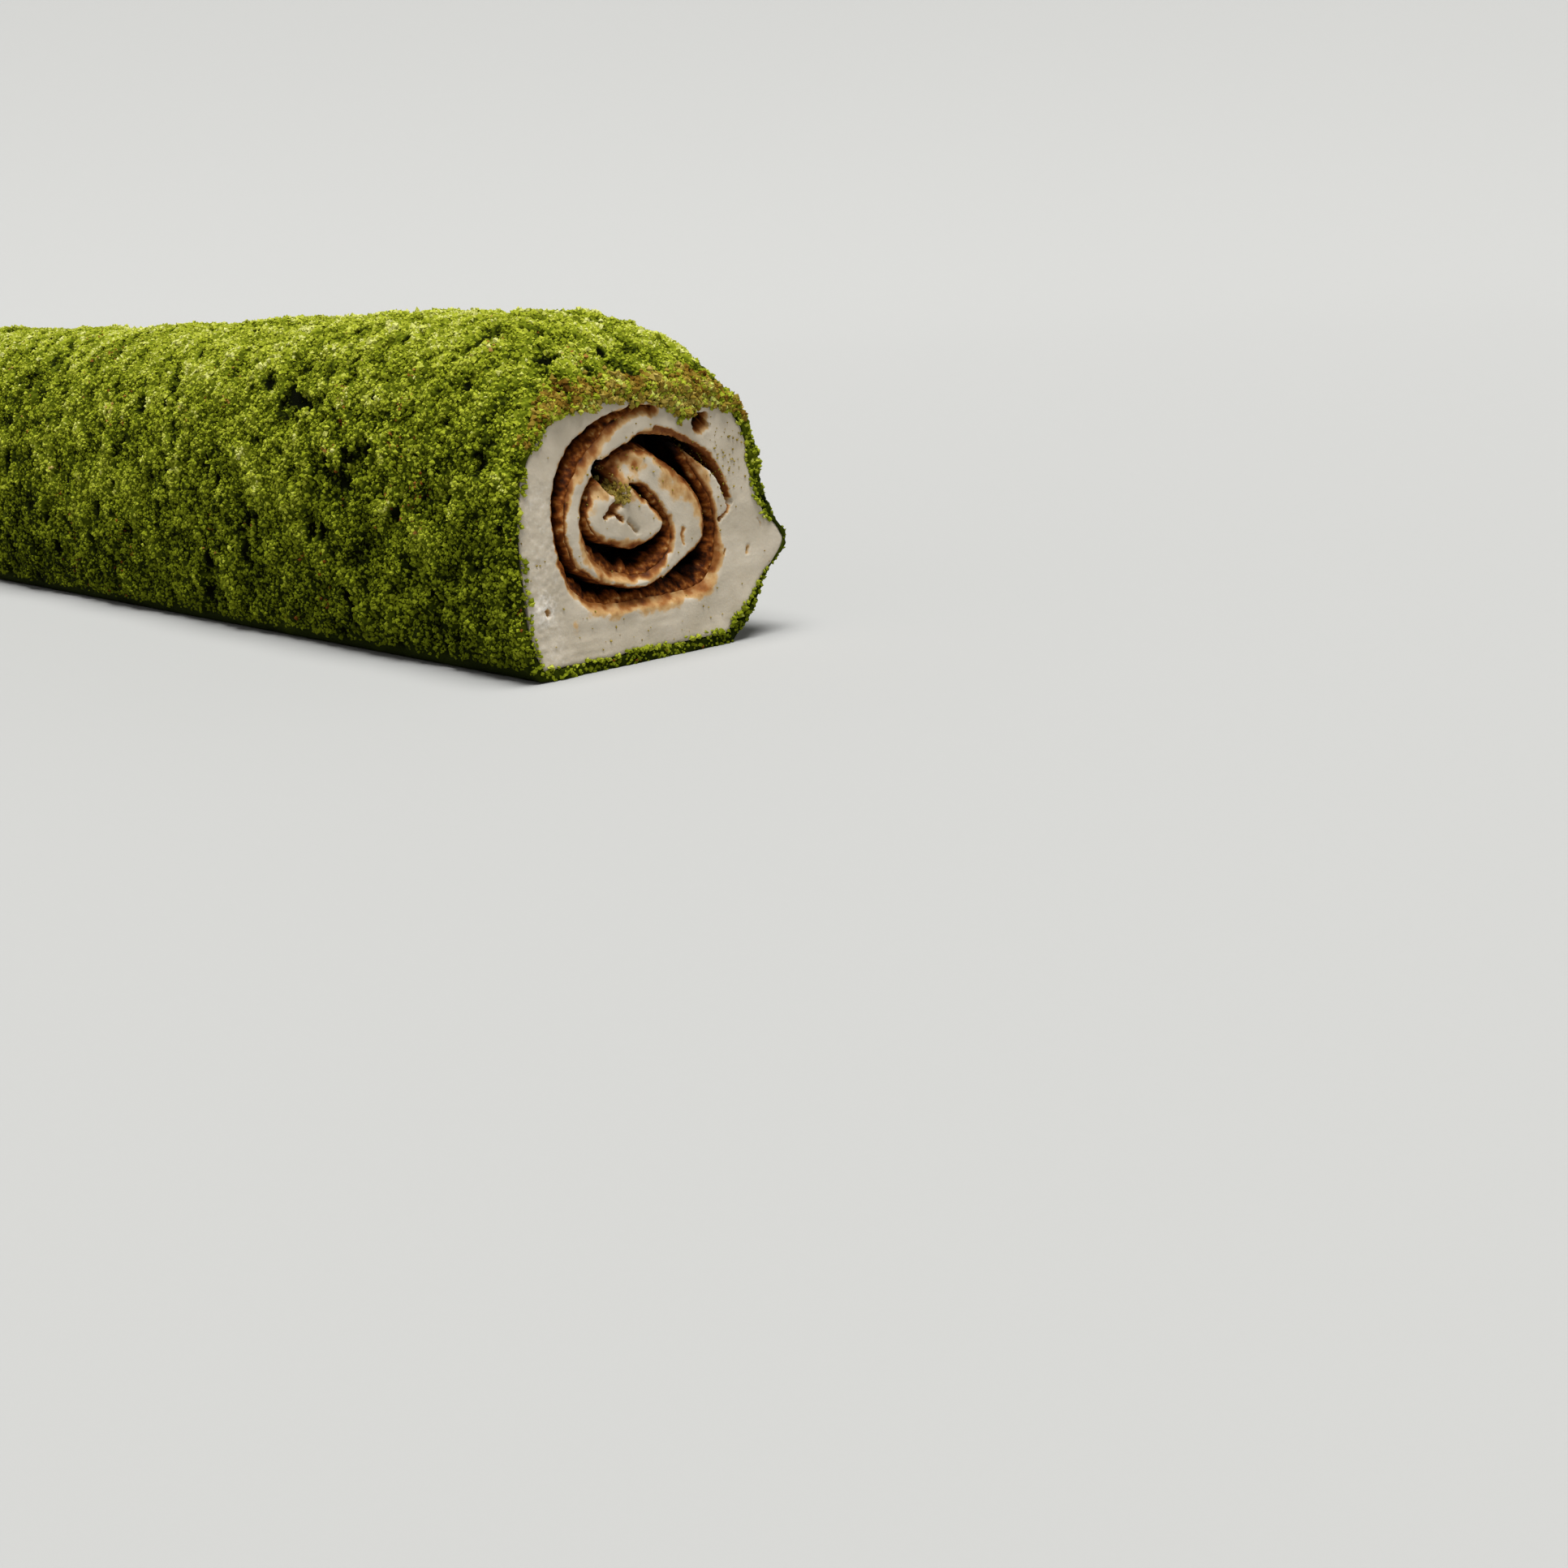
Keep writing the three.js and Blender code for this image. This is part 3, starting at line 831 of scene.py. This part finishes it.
flat = np.vstack([rims, staggered_grid()])
net = delaunay_2d_cdt(
    [Vector(point) for point in flat],
    ring_edges(0, len(outline)) + ring_edges(len(outline), len(hole)), [], 0, 1e-6, True)
origin = [ids[0] if ids else -1 for ids in net[3]]
triangles = np.array([[origin[corner] for corner in face] for face in net[2]])
corners = flat[triangles]
sides = corners[:, 1:] - corners[:, :1]
slivers = np.abs(sides[:, 0, 0] * sides[:, 1, 1] - sides[:, 0, 1] * sides[:, 1, 0]) < SLIVER
centres = corners.mean(1)
triangles = triangles[inside(centres, outline) & ~inside(centres, hole) & ~slivers]
print("cut", len(flat), "points,", len(triangles), "triangles, lost", origin.count(-1))

# %% [markdown]
# ## What marks the cut
# The splits, the pit and the smears lie where they lie on the real cut: each has a place, a size,
# a depth and the strength of its stain. Each step below digs into `depth` and raises the stain,
# which deep in the splits and the pit runs to near black as painted shade.

# %% Place the marks
SPLITS = [  # across and height along the line, width, depth, strength of the stain, near black deep down as painted shade
    ([(-8.6, 26.6), (-7.5, 25.4), (-6.5, 24.1)], 2.2, 6.0, 1.0),
    ([(-6.2, 23.6), (-5.5, 22.7), (-5.8, 21.9), (-6.9, 21.2)], 1.5, 1.1, 0.5),
    ([(-8.3, 20.4), (-7.6, 20.8), (-6.9, 20.6)], 0.7, 0.8, 0.6),
    ([(-7.0, 21.3), (-6.2, 20.4), (-5.2, 19.7)], 0.7, 0.9, 0.6),
    ([(-4.4, 19.4), (-3.6, 18.6), (-3.0, 17.9)], 0.7, 0.8, 0.1),
    ([(1.2, 31.0), (4.4, 30.0), (6.7, 28.7), (8.7, 27.5), (10.4, 26.1), (11.6, 24.3),
      (12.4, 22.5), (13.2, 20.6)], 1.1, 0.4, 0.6),
    ([(3.6, 28.8), (6.3, 27.7), (8.6, 26.5), (10.3, 25.2)], 1.3, 7.0, 1.0),
    ([(10.3, 25.2), (11.4, 23.7), (12.2, 22.2), (12.8, 20.9), (13.3, 19.7)], 0.8, 5.0, 1.0),
    ([(13.3, 19.7), (13.2, 18.9), (12.4, 18.2), (11.5, 17.6)], 0.5, 0.8, 0.6),
    ([(4.8, 17.2), (4.5, 16.2), (4.7, 15.2)], 0.5, 0.3, 0.35),
    ([(18.5, 16.8), (18.9, 15.9), (18.7, 15.0)], 0.4, 0.25, 0.1),
    ([(16.3, 13.1), (16.1, 12.4)], 0.5, 0.4, 0.3), ([(12.0, 13.2), (11.9, 12.7)], 0.5, 0.3, 0.4),
    ([(-18.9, 9.2), (-18.8, 8.9)], 0.9, 0.8, 0.25),
]
LINE_PITCH = 0.05
PIT_CENTRE, PIT_RADIUS, PIT_DEPTH = np.array([9.3, 30.8]), 1.5, 3.6
TORN_PATCH = (-19.5, 9.5), (3.0, 3.4)  # a place on the cut, and its size across and up
TEAR_PATCH = (-5.3, 22.9), (1.3, 1.4)
SPECKS = [((13.2, 26.5), (2.6, 4.5), 1.5), ((-3, 25), (6.0, 4.0), 0.4)]  # and how many
SMEARS = [  # place on the cut, size across and up, strength of the stain, depth of the dent
    ((-5.6, 26.6), (2.2, 1.5), 0.8, 0.7), ((-3.4, 27.2), (1.4, 1.4), 0.66, 0.5),
    ((-8.2, 23.6), (1.1, 0.9), 0.6, 0.2), ((-5.0, 25.6), (2.2, 1.8), 0.36, 0.3),
    ((-10.6, 22.2), (1.0, 1.6), 0.34, 0.3), ((-9.4, 23.8), (0.8, 0.9), 0.75, 0.8),
    ((0.2, 27.4), (2.6, 1.3), 0.28, 0.2), ((4.0, 23.6), (2.4, 2.0), 0.26, 0.1),
    ((6.9, 20.9), (1.4, 2.4), 0.3, 0.1), ((7.6, 25.2), (1.6, 1.5), 0.7, 0.9),
    ((8.9, 23.0), (0.9, 1.5), 0.5, 0.3), ((-2.4, 22.6), (2.0, 0.8), 0.26, 0.0),
    ((-11.5, 14.9), (0.8, 1.0), 0.4, 0.1), ((-14.6, 6.2), (0.5, 1.2), 0.16, 0.0),
    ((-12.0, 7.6), (0.5, 0.6), 0.14, 0.0),
]
print(len(SPLITS), "splits and", len(SMEARS), "smears")


# %% Mark the delight
def spot(points, centre, size):
    """A soft round patch: 1 at its centre, and near 0 from twice its size on."""
    return np.exp(-(((points - centre) / size) ** 2).sum(1))


def line_points(keys):
    return spline(keys, int(run_along(keys)[-1] / LINE_PITCH) + 2)


def cut_by_knife(points, solid, to_rim):
    """A slow unevenness, the level lines that the knife left, and a rounded rim."""
    depth = 0.25 * noise(solid, 5.0, 21) + 0.06 * noise(solid, 1.3, 22)
    lines = 0.01 + 0.03 * ease(11, 6, points[:, 1]) * ease(8, -4, points[:, 0])
    depth += lines * noise(solid * (1, 0.15, 1.6), 1.0, 23)
    return depth + 0.2 * (1 - ease(0, 0.6, to_rim)) ** 2


def tear_lips(points, solid, depth, stain):
    """Rounds and stains the gap's two lips, and gives the distance to them."""
    to_gap = np.full(len(points), np.inf)
    for edge, smear in zip((outer_edge, inner_edge), gap_smear.T):
        away, column = nearest(points, edge)
        to_gap = np.minimum(to_gap, away)
        smear = smear[column]
        lip = 0.4 + 0.7 * smear
        torn = away + 0.1 * noise(solid, 0.8, 20)
        depth += (0.25 + 0.5 * smear) * (1 - ease(0, lip, torn)) ** 1.5
        reach = smear * (1.3 + 0.6 * noise(solid, 1.6, 26)) + 0.45 * noise(solid, 0.6, 27)
        fresh = 0.7 - 0.15 * smear + 0.4 * noise(solid, 0.9, 41)
        shown = fresh * (1 - ease(0, 1, away / np.maximum(0.2, reach)))
        np.maximum(stain, shown, out=stain)
    return to_gap


def roughen(points, solid, depth):
    """Crumbles the left of the cut, most at the torn patch, and gives the share of it."""
    left = ease(-14.5, -17.0, points[:, 0]) * ease(29, 25, points[:, 1])
    rough = np.maximum(spot(points, *TORN_PATCH), 0.5 * left)
    bits = 0.5 * np.maximum(0, noise(solid, 1.2, 24)) + 0.6 * noise(solid, 0.55, 25)
    depth -= 0.26 * rough * bits
    return rough


def smear_and_split(points, solid, depth, stain):
    """Adds the smears, the splits and the pit; deep in the splits and the pit the stain is painted
    shade.
    """
    for centre, size, strength, sunk in SMEARS:
        spread = spot(points, centre, size)
        patch = ease(-1.0, 0.7, noise(solid, 2.0, 28) + 0.4 * noise(solid, 0.6, 29))
        np.maximum(stain, strength * np.minimum(1, 1.6 * spread) * patch, out=stain)
        depth += sunk * spread * (1 + 0.4 * noise(solid, 1.8, 36))
    for keys, width, deep, strength in SPLITS:
        away = distance(points, line_points(keys)) + 0.12 * noise(solid, 0.7, 30)
        dip = 1 - ease(0.2 * width, 0.62 * width, away)
        depth += deep * dip
        # stained further in, and near black deep down: painted shade in the split
        np.maximum(stain, strength * ease(0.05, 0.8, dip), out=stain)
    pit = np.linalg.norm(points - PIT_CENTRE, axis=1) + 0.45 * noise(solid, 1.2, 31)
    dip = 1 - ease(0.6 * PIT_RADIUS, 1.15 * PIT_RADIUS, pit + 0.3 * noise(solid, 0.5, 32))
    depth += PIT_DEPTH * dip
    # the pit darkens to near black towards its floor: painted shade
    dark = 0.55 * ease(0, 0.3, dip) + 0.45 * ease(0.25, 0.65, dip)
    np.maximum(stain, dark, out=stain)


# %% Crumble the rim
def crumble_rim(points, solid, depth, to_rim, to_gap):
    """Heaps dragged crumbs up under the top rim. Gives the crumbs' share, and that on top."""
    across = points[:, 0]
    top = ease(15, 11, np.abs(across - 1)) * ease(28, 32, points[:, 1])
    heap = 3.0 * np.exp(-((across - 5.8) / 3.2) ** 2) + 1.0 * np.exp(-((across + 16.4) / 1.5) ** 2)
    reach = 0.5 + (0.9 + heap) * top + (0.5 + 0.8 * top) * noise(solid, 2.2, 34)
    reach += 0.35 * noise(solid, 0.7, 35)
    dust = 1 - ease(0.5, 1.0, to_rim / np.maximum(0.1, reach))
    dust *= (1 - nose_share(np.column_stack([across, lift(points[:, 1])]))) * (to_gap > 0.35)
    rim = dust * ease(0.2, 0.8, top)
    depth -= rim * (0.3 + 0.5 * noise(solid, 1.1, 38) + 0.2 * noise(solid, 0.6, 39))
    return dust, rim


def cut_surface(points, end):
    """For places on a cut: the surface's depth, its stains and painted shade, its roughness and the
    crumbs on it.
    """
    solid = in_space(points, 40.0 * end)
    to_rim = distance(points, outline)
    depth, stain = cut_by_knife(points, solid, to_rim), np.zeros(len(points))
    to_gap = tear_lips(points, solid, depth, stain)
    rough = roughen(points, solid, depth)
    smear_and_split(points, solid, depth, stain)
    dust, rim = crumble_rim(points, solid, depth, to_rim, to_gap)
    fallen = (spot(points, *TEAR_PATCH) > 0.4) & (depth < 2.2)
    specks = np.max([many * spot(points, *patch) for *patch, many in SPECKS], axis=0)
    return {"depth": np.maximum(depth, -0.25 - 0.7 * rim), "stain": np.clip(stain, 0, 1),
            "rough": rough, "dust": dust, "rim": rim, "fallen": fallen, "specks": 0.04 + specks}


# %% [markdown]
# ## The sheet, from cut to cut
# Both cuts use the same net, each with its own depths. The outline's wall and the gap's wall join
# them in rows that lie close near the cuts and far apart between them, so the sheet is one closed
# mesh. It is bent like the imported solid.

# %% Build the sheet
WALL_DEPTHS = np.array([0, 0.2, 0.45, 0.8, 1.2, 1.8, 2.6, 3.6, 5, 7, 10, 12.5, 15, 17.5, 20, 24,
                        28, 34, 40, 50, 65, 80, 100, 120]) / (2 * HALF)
WALL_SHARES = np.concatenate([WALL_DEPTHS, 1 - WALL_DEPTHS[-2::-1]])
cuts = [cut_surface(flat, end) for end in (1, -1)]
sheet_x = [end * (HALF - SEAM - CUT_BACK - cut["depth"]) for end, cut in zip((1, -1), cuts)]
sheet_flat = [flat, flat]
sheet_values = {key: [cut[key] for cut in cuts] for key in cuts[0] if key != "depth"}
sheet_faces = triangles.tolist() + (triangles[:, ::-1] + len(flat)).tolist()
made = 2 * len(flat)
for start, loop, loop_inside, walls_stained_and_shaded in (
        (0, outline, outline_inside, 0.0), (len(outline), hole, hole, 1.0)):
    numbers = start + np.arange(len(loop))
    rows = [numbers]
    near, far = sheet_x[0][numbers], sheet_x[1][numbers]
    for share in WALL_SHARES[1:-1]:
        x = near + (far - near) * share
        rows.append(made + np.arange(len(loop)))
        made += len(loop)
        sheet_x.append(x)
        from_cut = HALF - np.abs(x)
        sheet_flat.append(loop + ease(0.6, 3.0, from_cut)[:, None] * (loop_inside - loop))
        streak = noise(in_space(loop, x / 4), 0.8, 33)
        # the gap's walls: stained by the cream, and darker the deeper they lie, to near black:
        # painted shade
        wall = 0.55 + 0.45 * ease(0.0, 2.2, from_cut) + 0.15 * streak
        for key, values in sheet_values.items():
            values.append(wall * walls_stained_and_shaded if key == "stain" else np.zeros(len(loop)))
    rows.append(numbers + len(flat))
    sheet_faces += grid_faces(np.array(rows), False, True)
sheet_x = np.concatenate(sheet_x)
sheet_flat = np.vstack(sheet_flat)
sheet = make_mesh(
    "rolled_delight", place_in_roll(sheet_x, *sheet_flat.T), sheet_faces,
    {key: np.concatenate(values) for key, values in sheet_values.items()})
print("sheet", len(sheet.data.vertices), "points", len(sheet.data.polygons), "faces")

# %% [markdown]
# ## The finish of the delight
# Turkish delight is a starch jelly: off-white, matt where it is cut, and slightly translucent, so
# it takes a little subsurface scattering. The cocoa cream has stained it near the gap. The
# attribute of stain and shade drives a colour ramp from off-white over tan to brown, broken up
# by fine noise; the ramp's near-black end is painted shade, deep in the splits, the pit and the
# gap's walls.

# %% The delight's material
# from tan to brown is the cream's stain; the near-black end is painted shade
STAIN_AND_SHADE_COLOURS = [(0.0, "#C6AD88"), (0.2, "#B6915F"), (0.42, "#8C5727"), (0.65, "#64330E"),
                 (0.85, "#2A1204"), (1.0, "#0A0401")]
DELIGHT_COLOURS = [(0.3, "#ADA28E"), (0.7, "#C4B9A6")]
TORN_WHITE = "#DDD6CA"
CRUST_COLOURS = [(0.3, "#2C2405"), (0.5, "#5F5312"), (0.7, "#8A7D2C")]


def stained_and_shaded_delight():
    """Starch jelly: matt on a cut, and light goes about a millimetre into it."""
    material, tree = new_material(
        "cut_turkish_delight", Roughness=0.62, Specular_IOR_Level=0.12, Subsurface_Weight=0.12,
        Subsurface_Scale=1.2 * MM, Subsurface_Radius=(1.0, 0.7, 0.45))
    node = partial(add, tree)
    stain, rough, rim = (node(ATTRIBUTE, {"attribute_name": key}).outputs["Fac"]
                         for key in ("stain", "rough", "rim"))
    place = node("ShaderNodeTexCoord").outputs["Object"]
    mottle, cloud, torn, clods, grain = (  # each with the size of its blobs in millimetres
        node(NOISE, Vector=place, Scale=1 / (size * MM), Detail=detail)
        for size, detail in ((0.7, 3), (5.0, 8), (0.6, 3), (1.0, 3), (0.45, 4)))
    mottle = node(MATH, MULTIPLY_ADD, mottle, 0.3, -0.15)
    shown = node(RANGE, SMOOTH, stain, 0.02, 0.12, 0.0, 1.0)
    stain = node(MATH, MULTIPLY_ADD, mottle, shown, stain)
    torn = node(MATH, MULTIPLY, torn, rough)
    colour, brown, crust = (
        node(RAMP, {"stops": stops}, value).outputs[0] for stops, value in (
            (DELIGHT_COLOURS, cloud), (STAIN_AND_SHADE_COLOURS, stain), (CRUST_COLOURS, clods)))
    for value, low, high, layer in (
            (torn, 0.2, 0.6, linear(TORN_WHITE)), (stain, 0.03, 0.14, brown),
            (rim, 0.2, 0.5, crust)):
        share = node(RANGE, SMOOTH, value, low, high, 0.0, 1.0)
        mixed = node("ShaderNodeMix", {"data_type": "RGBA"}, share, i6=colour, i7=layer)
        colour = mixed.outputs[2]
    finish_material(tree, colour, grain, 0.35, 0.15)
    return material


sheet.data.materials.append(stained_and_shaded_delight())

# %% [markdown]
# ## The cocoa cream
# The cream clings to both walls of the gap. Where the gap is wide it stands open at the cut for
# about a centimetre, and where it is narrow the cream fills it. The piece is a grid: each column
# goes from the trench at the near cut along one wall to the trench at the far cut and back.

# %% Build the cream
SHALLOW, DEEP = 1.5, 10.0  # how deep the gap is open at a cut
SIDES = ((outer_edge, 1), (inner_edge, -1))  # each wall's edge, and its sign across the gap
LIP_SHARES = np.array([0, 0.02, 0.04, 0.07, 0.1, 0.14, 0.18, 0.23, 0.29, 0.36, 0.44, 0.53, 0.63,
                       0.75, 0.88, 1])
FLOOR_SHARES = (0.55, 0.8)
WALL_LEVELS = [HALF - down for down in (3, 6, 10, 15, 20, 30, 40)] + [25]
middle_line = (outer_edge + inner_edge) / 2
to_outer_edge = (outer_edge - middle_line) / np.maximum(0.001, gap_width / 2)[:, None]
opening = gap_width * (1 - cream_share.sum(1))
trench_depth = SHALLOW + (DEEP - SHALLOW) * ease(0.15, 0.7, opening)


def lining(end, side, down, lip):
    """How thick the cream lies on one wall of the gap, at the given depth from the cut."""
    most = cream_share[:, side] * gap_width
    slope = np.clip((down - lip) / (0.6 + 0.6 * most), 0, 1)
    solid = in_space(SIDES[side][0], down / 4 + 50 * end)
    relief = 0.8 + 0.2 * noise(solid, 0.6, 46) + 0.35 * noise(solid * (2, 1, 1), 1.3, 47)
    return np.clip(most * slope * (2 - slope) * relief, 0, most)


def trench(end, side):
    """One half of the trench at one cut, from the middle of its floor to the lip on one wall."""
    edge, sign = SIDES[side]
    half = gap_width / 2
    at = in_space(edge, 50.0 * end)
    cut = SEAM + CUT_BACK + cut_surface(edge, end)["depth"]
    lip = cut + 0.1 + 0.08 * noise(at, 1.5, 40) + 0.05 * noise(at, 0.5, 42)
    bottom = np.maximum(trench_depth + 0.2 * noise(at, 1.0, 44), lip + 0.3)
    here = sign * (half - lining(end, side, bottom, lip))
    across = -sign * (half - lining(end, 1 - side, bottom, lip))
    rows = [(bottom, across + (here - across) * share) for share in FLOOR_SHARES]
    for share in LIP_SHARES[::-1]:
        down = lip + (bottom - lip) * share
        rows.append((down, sign * (half - lining(end, side, down, lip))))
    rows.append((lip + 0.1, sign * (half + 0.08)))  # just within the delight
    return [(end * (HALF - down), middle_line + to_outer_edge * across[:, None], down)
            for down, across in rows]


def cream_half(side):
    """The trench at the near cut, the wall along the roll, and the trench at the far cut."""
    near, far = trench(1, side), trench(-1, side)
    edge = near[-1][1]
    wall = [(np.full(len(edge), x), edge, np.full(len(edge), DEEP))
            for x in [*WALL_LEVELS, 0, *(-level for level in WALL_LEVELS[::-1])]]
    return near + wall + far[::-1]


halves = cream_half(0), cream_half(1)
ring = halves[0] + halves[1][::-1]
steps = len(halves[0])
columns = len(outer_edge)
cream_points = [place_in_roll(x, *flat_place.T) for x, flat_place, _ in ring]
rows = np.arange(2 * steps * columns).reshape(2 * steps, columns)
cream_faces = grid_faces(rows, True, False)
for column, turned in ((0, -1), (columns - 1, 1)):
    for step in range(steps - 1):
        a, b = rows[step, column], rows[step + 1, column]
        c, d = rows[2 * steps - 2 - step, column], rows[2 * steps - 1 - step, column]
        cream_faces.append([int(corner) for corner in (a, b, c, d)][::turned])
cream = make_mesh("cocoa_cream_lining", np.vstack(cream_points), cream_faces, {
    "sunk": np.concatenate([down for _, _, down in ring]) / DEEP})
print("cream", len(cream.data.polygons), "faces")


# %% The cream's material
# the ramp's near-black end is painted shade, deep in the gap
CREAM_AND_SHADE_COLOURS = [(0.0, "#BD9C6E"), (0.14, "#A87842"), (0.3, "#864B1A"), (0.5, "#5E2D0A"),
                 (0.75, "#2E1304"), (1.0, "#0E0501")]


def cocoa_cream():
    """Cocoa cream: a satin, fatty brown, thin and tan where smeared over the lip; painted shade deep
    in the gap.
    """
    material, tree = new_material("smeared_cocoa_cream", Roughness=0.6, Specular_IOR_Level=0.08)
    node = partial(add, tree)
    sunk = node(ATTRIBUTE, {"attribute_name": "sunk"}).outputs["Fac"]
    place = node("ShaderNodeTexCoord").outputs["Object"]
    along = node("ShaderNodeMapping", Vector=place, Scale=(0.25, 1, 1))  # streaks run inwards
    streaks, patches = (
        node(NOISE, Vector=where, Scale=1 / (size * MM), Detail=detail)
        for where, size, detail in ((along, 0.8, 3), (place, 2.5, 2)))
    tone = node(MATH, MULTIPLY_ADD, streaks, 1.5, -1.0)
    tone = node(MATH, MULTIPLY_ADD, patches, 0.7, tone)
    # the first step turns the thin tan cream at the lip brown; the second, deeper in the gap, is
    # painted shade
    for low, high, darker in ((0.02, 0.1, 0.34), (0.14, 0.45, 0.62)):
        deep = node(RANGE, SMOOTH, sunk, low, high, 0.0, 1.0)
        tone = node(MATH, MULTIPLY_ADD, deep, darker, tone)
    colour = node(RAMP, {"stops": CREAM_AND_SHADE_COLOURS}, tone)
    finish_material(tree, colour.outputs[0], streaks, 0.35, 0.15)
    return material


cream.data.materials.append(cocoa_cream())

# %% [markdown]
# ## Crumbs on the cuts
# The knife dragged crumbs from the coat over the upper rim of each cut, some fell into the tear in
# the middle, and dust lies here and there. The same tree strews them, on the sheet's own values.

# %% Strew the cuts
# painted shade for the crumbs on the cut: those beside the rim, off its top, come out darker
beside = read(sheet.data, "dust") * (1 - read(sheet.data, "rim"))
paint(sheet.data, "height", 0.7 - 0.3 * np.minimum(1, 2 * beside))
on_rims = [sheet, bed[0], bed[-1]]
CUT_CRUMBS = [  # name, ground, value that gives the cover, number, sizes, seed, material
    ("tan_crumbs_on_the_rims", on_rims, "rim", 3600, (0.5, 1.1), 31, crumb_rim),
    ("green_crumbs_on_the_rims", on_rims, "dust", 4600, (0.42, 0.9), 32, crumb_green),
    ("crumbs_in_the_tear", [sheet], "fallen", 110, (0.45, 0.95), 34, crumb_rim),
    ("dust_on_the_cuts", [sheet], "specks", 600, (0.18, 0.38), 33, crumb_rim),
]
cut_crumbs = [strew(*row, raised=0.3) for row in CUT_CRUMBS]

# %% [markdown]
# ## Tie the pieces to the imported model
# Every piece rides on the one body and stands for one of the solids.

# %% Ride and replace
HELPER_VALUES = ("outward", "relief", "cover", "floor", "skins", "dust", "fallen", "specks")
for piece in bed + coat_crumbs + cut_crumbs + [sheet, cream]:
    for key in HELPER_VALUES:
        if key in piece.data.attributes:
            piece.data.attributes.remove(piece.data.attributes[key])
for piece in bed + coat_crumbs + cut_crumbs:
    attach(piece, "root")
    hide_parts("pistachio_coat")
for piece, node, slot in ((sheet, "delight_sheet", "delight"), (cream, "cocoa_cream", "cream")):
    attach(piece, "root")
    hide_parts(node)
print(len(bed + coat_crumbs + cut_crumbs) + 2, "pieces dress the packed model")

# %% [markdown]
# ## Floor and light
# The floor is one pale dish: flat under the roll and rising far behind it, so that no horizon
# shows. A large soft lamp above and a little behind lights the top, and a pale world fills in.

# %% The floor
FLOOR_RADIUS, FLOOR_FLAT, FLOOR_RISE = 3.0, 0.8, 2.5
SPOKES, RINGS = 96, 40
EYE = 0.0001  # the radius of the hole in the middle, too small to see


def dish(radius):
    beyond = max(0.0, radius - FLOOR_FLAT) / (FLOOR_RADIUS - FLOOR_FLAT)
    return FLOOR_RISE * beyond**2


dish_radii = [EYE] + [FLOOR_RADIUS * (i / RINGS) for i in range(1, RINGS + 1)]
dish_points = [(r * math.cos(a) / MM, r * math.sin(a) / MM, dish(r) / MM) for r in dish_radii
               for a in (2 * math.pi * k / SPOKES for k in range(SPOKES))]
dish_numbers = np.arange(len(dish_points)).reshape(-1, SPOKES)
floor = make_mesh("floor", dish_points, grid_faces(dish_numbers, False, True))
floor_material, _ = new_material("pale_floor", Roughness=0.9, Base_Color=linear("#9A9A98"))
floor.data.materials.append(floor_material)
floor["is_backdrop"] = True
print("floor", 2 * FLOOR_RADIUS, "m across")

# %% The lights
LIGHT_FROM = Vector((0.17, -0.1, 1.0))
LAMP_STRENGTH, LAMP_WIDTH, WORLD_STRENGTH = 6.0, 40, 0.04
soft = bpy.data.lights.new("soft_window", "SUN")
soft.energy = LAMP_STRENGTH
soft.angle = math.radians(LAMP_WIDTH)
window = link(bpy.data.objects.new("soft_window", soft))
window.rotation_euler = LIGHT_FROM.to_track_quat("Z", "Y").to_euler()
world = bpy.data.worlds.new("studio")
world.use_nodes = True
background = world.node_tree.nodes["Background"]
background.inputs["Color"].default_value = linear("#FFFFFF")
background.inputs["Strength"].default_value = WORLD_STRENGTH
bpy.context.scene.world = world
print("lamp", LAMP_STRENGTH, "and world", WORLD_STRENGTH)

visual_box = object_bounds()
sizes = {"cad": [list(corner) for corner in CAD_BOX],
         "visual": [list(corner) for corner in visual_box]}
print("boxes", sizes)
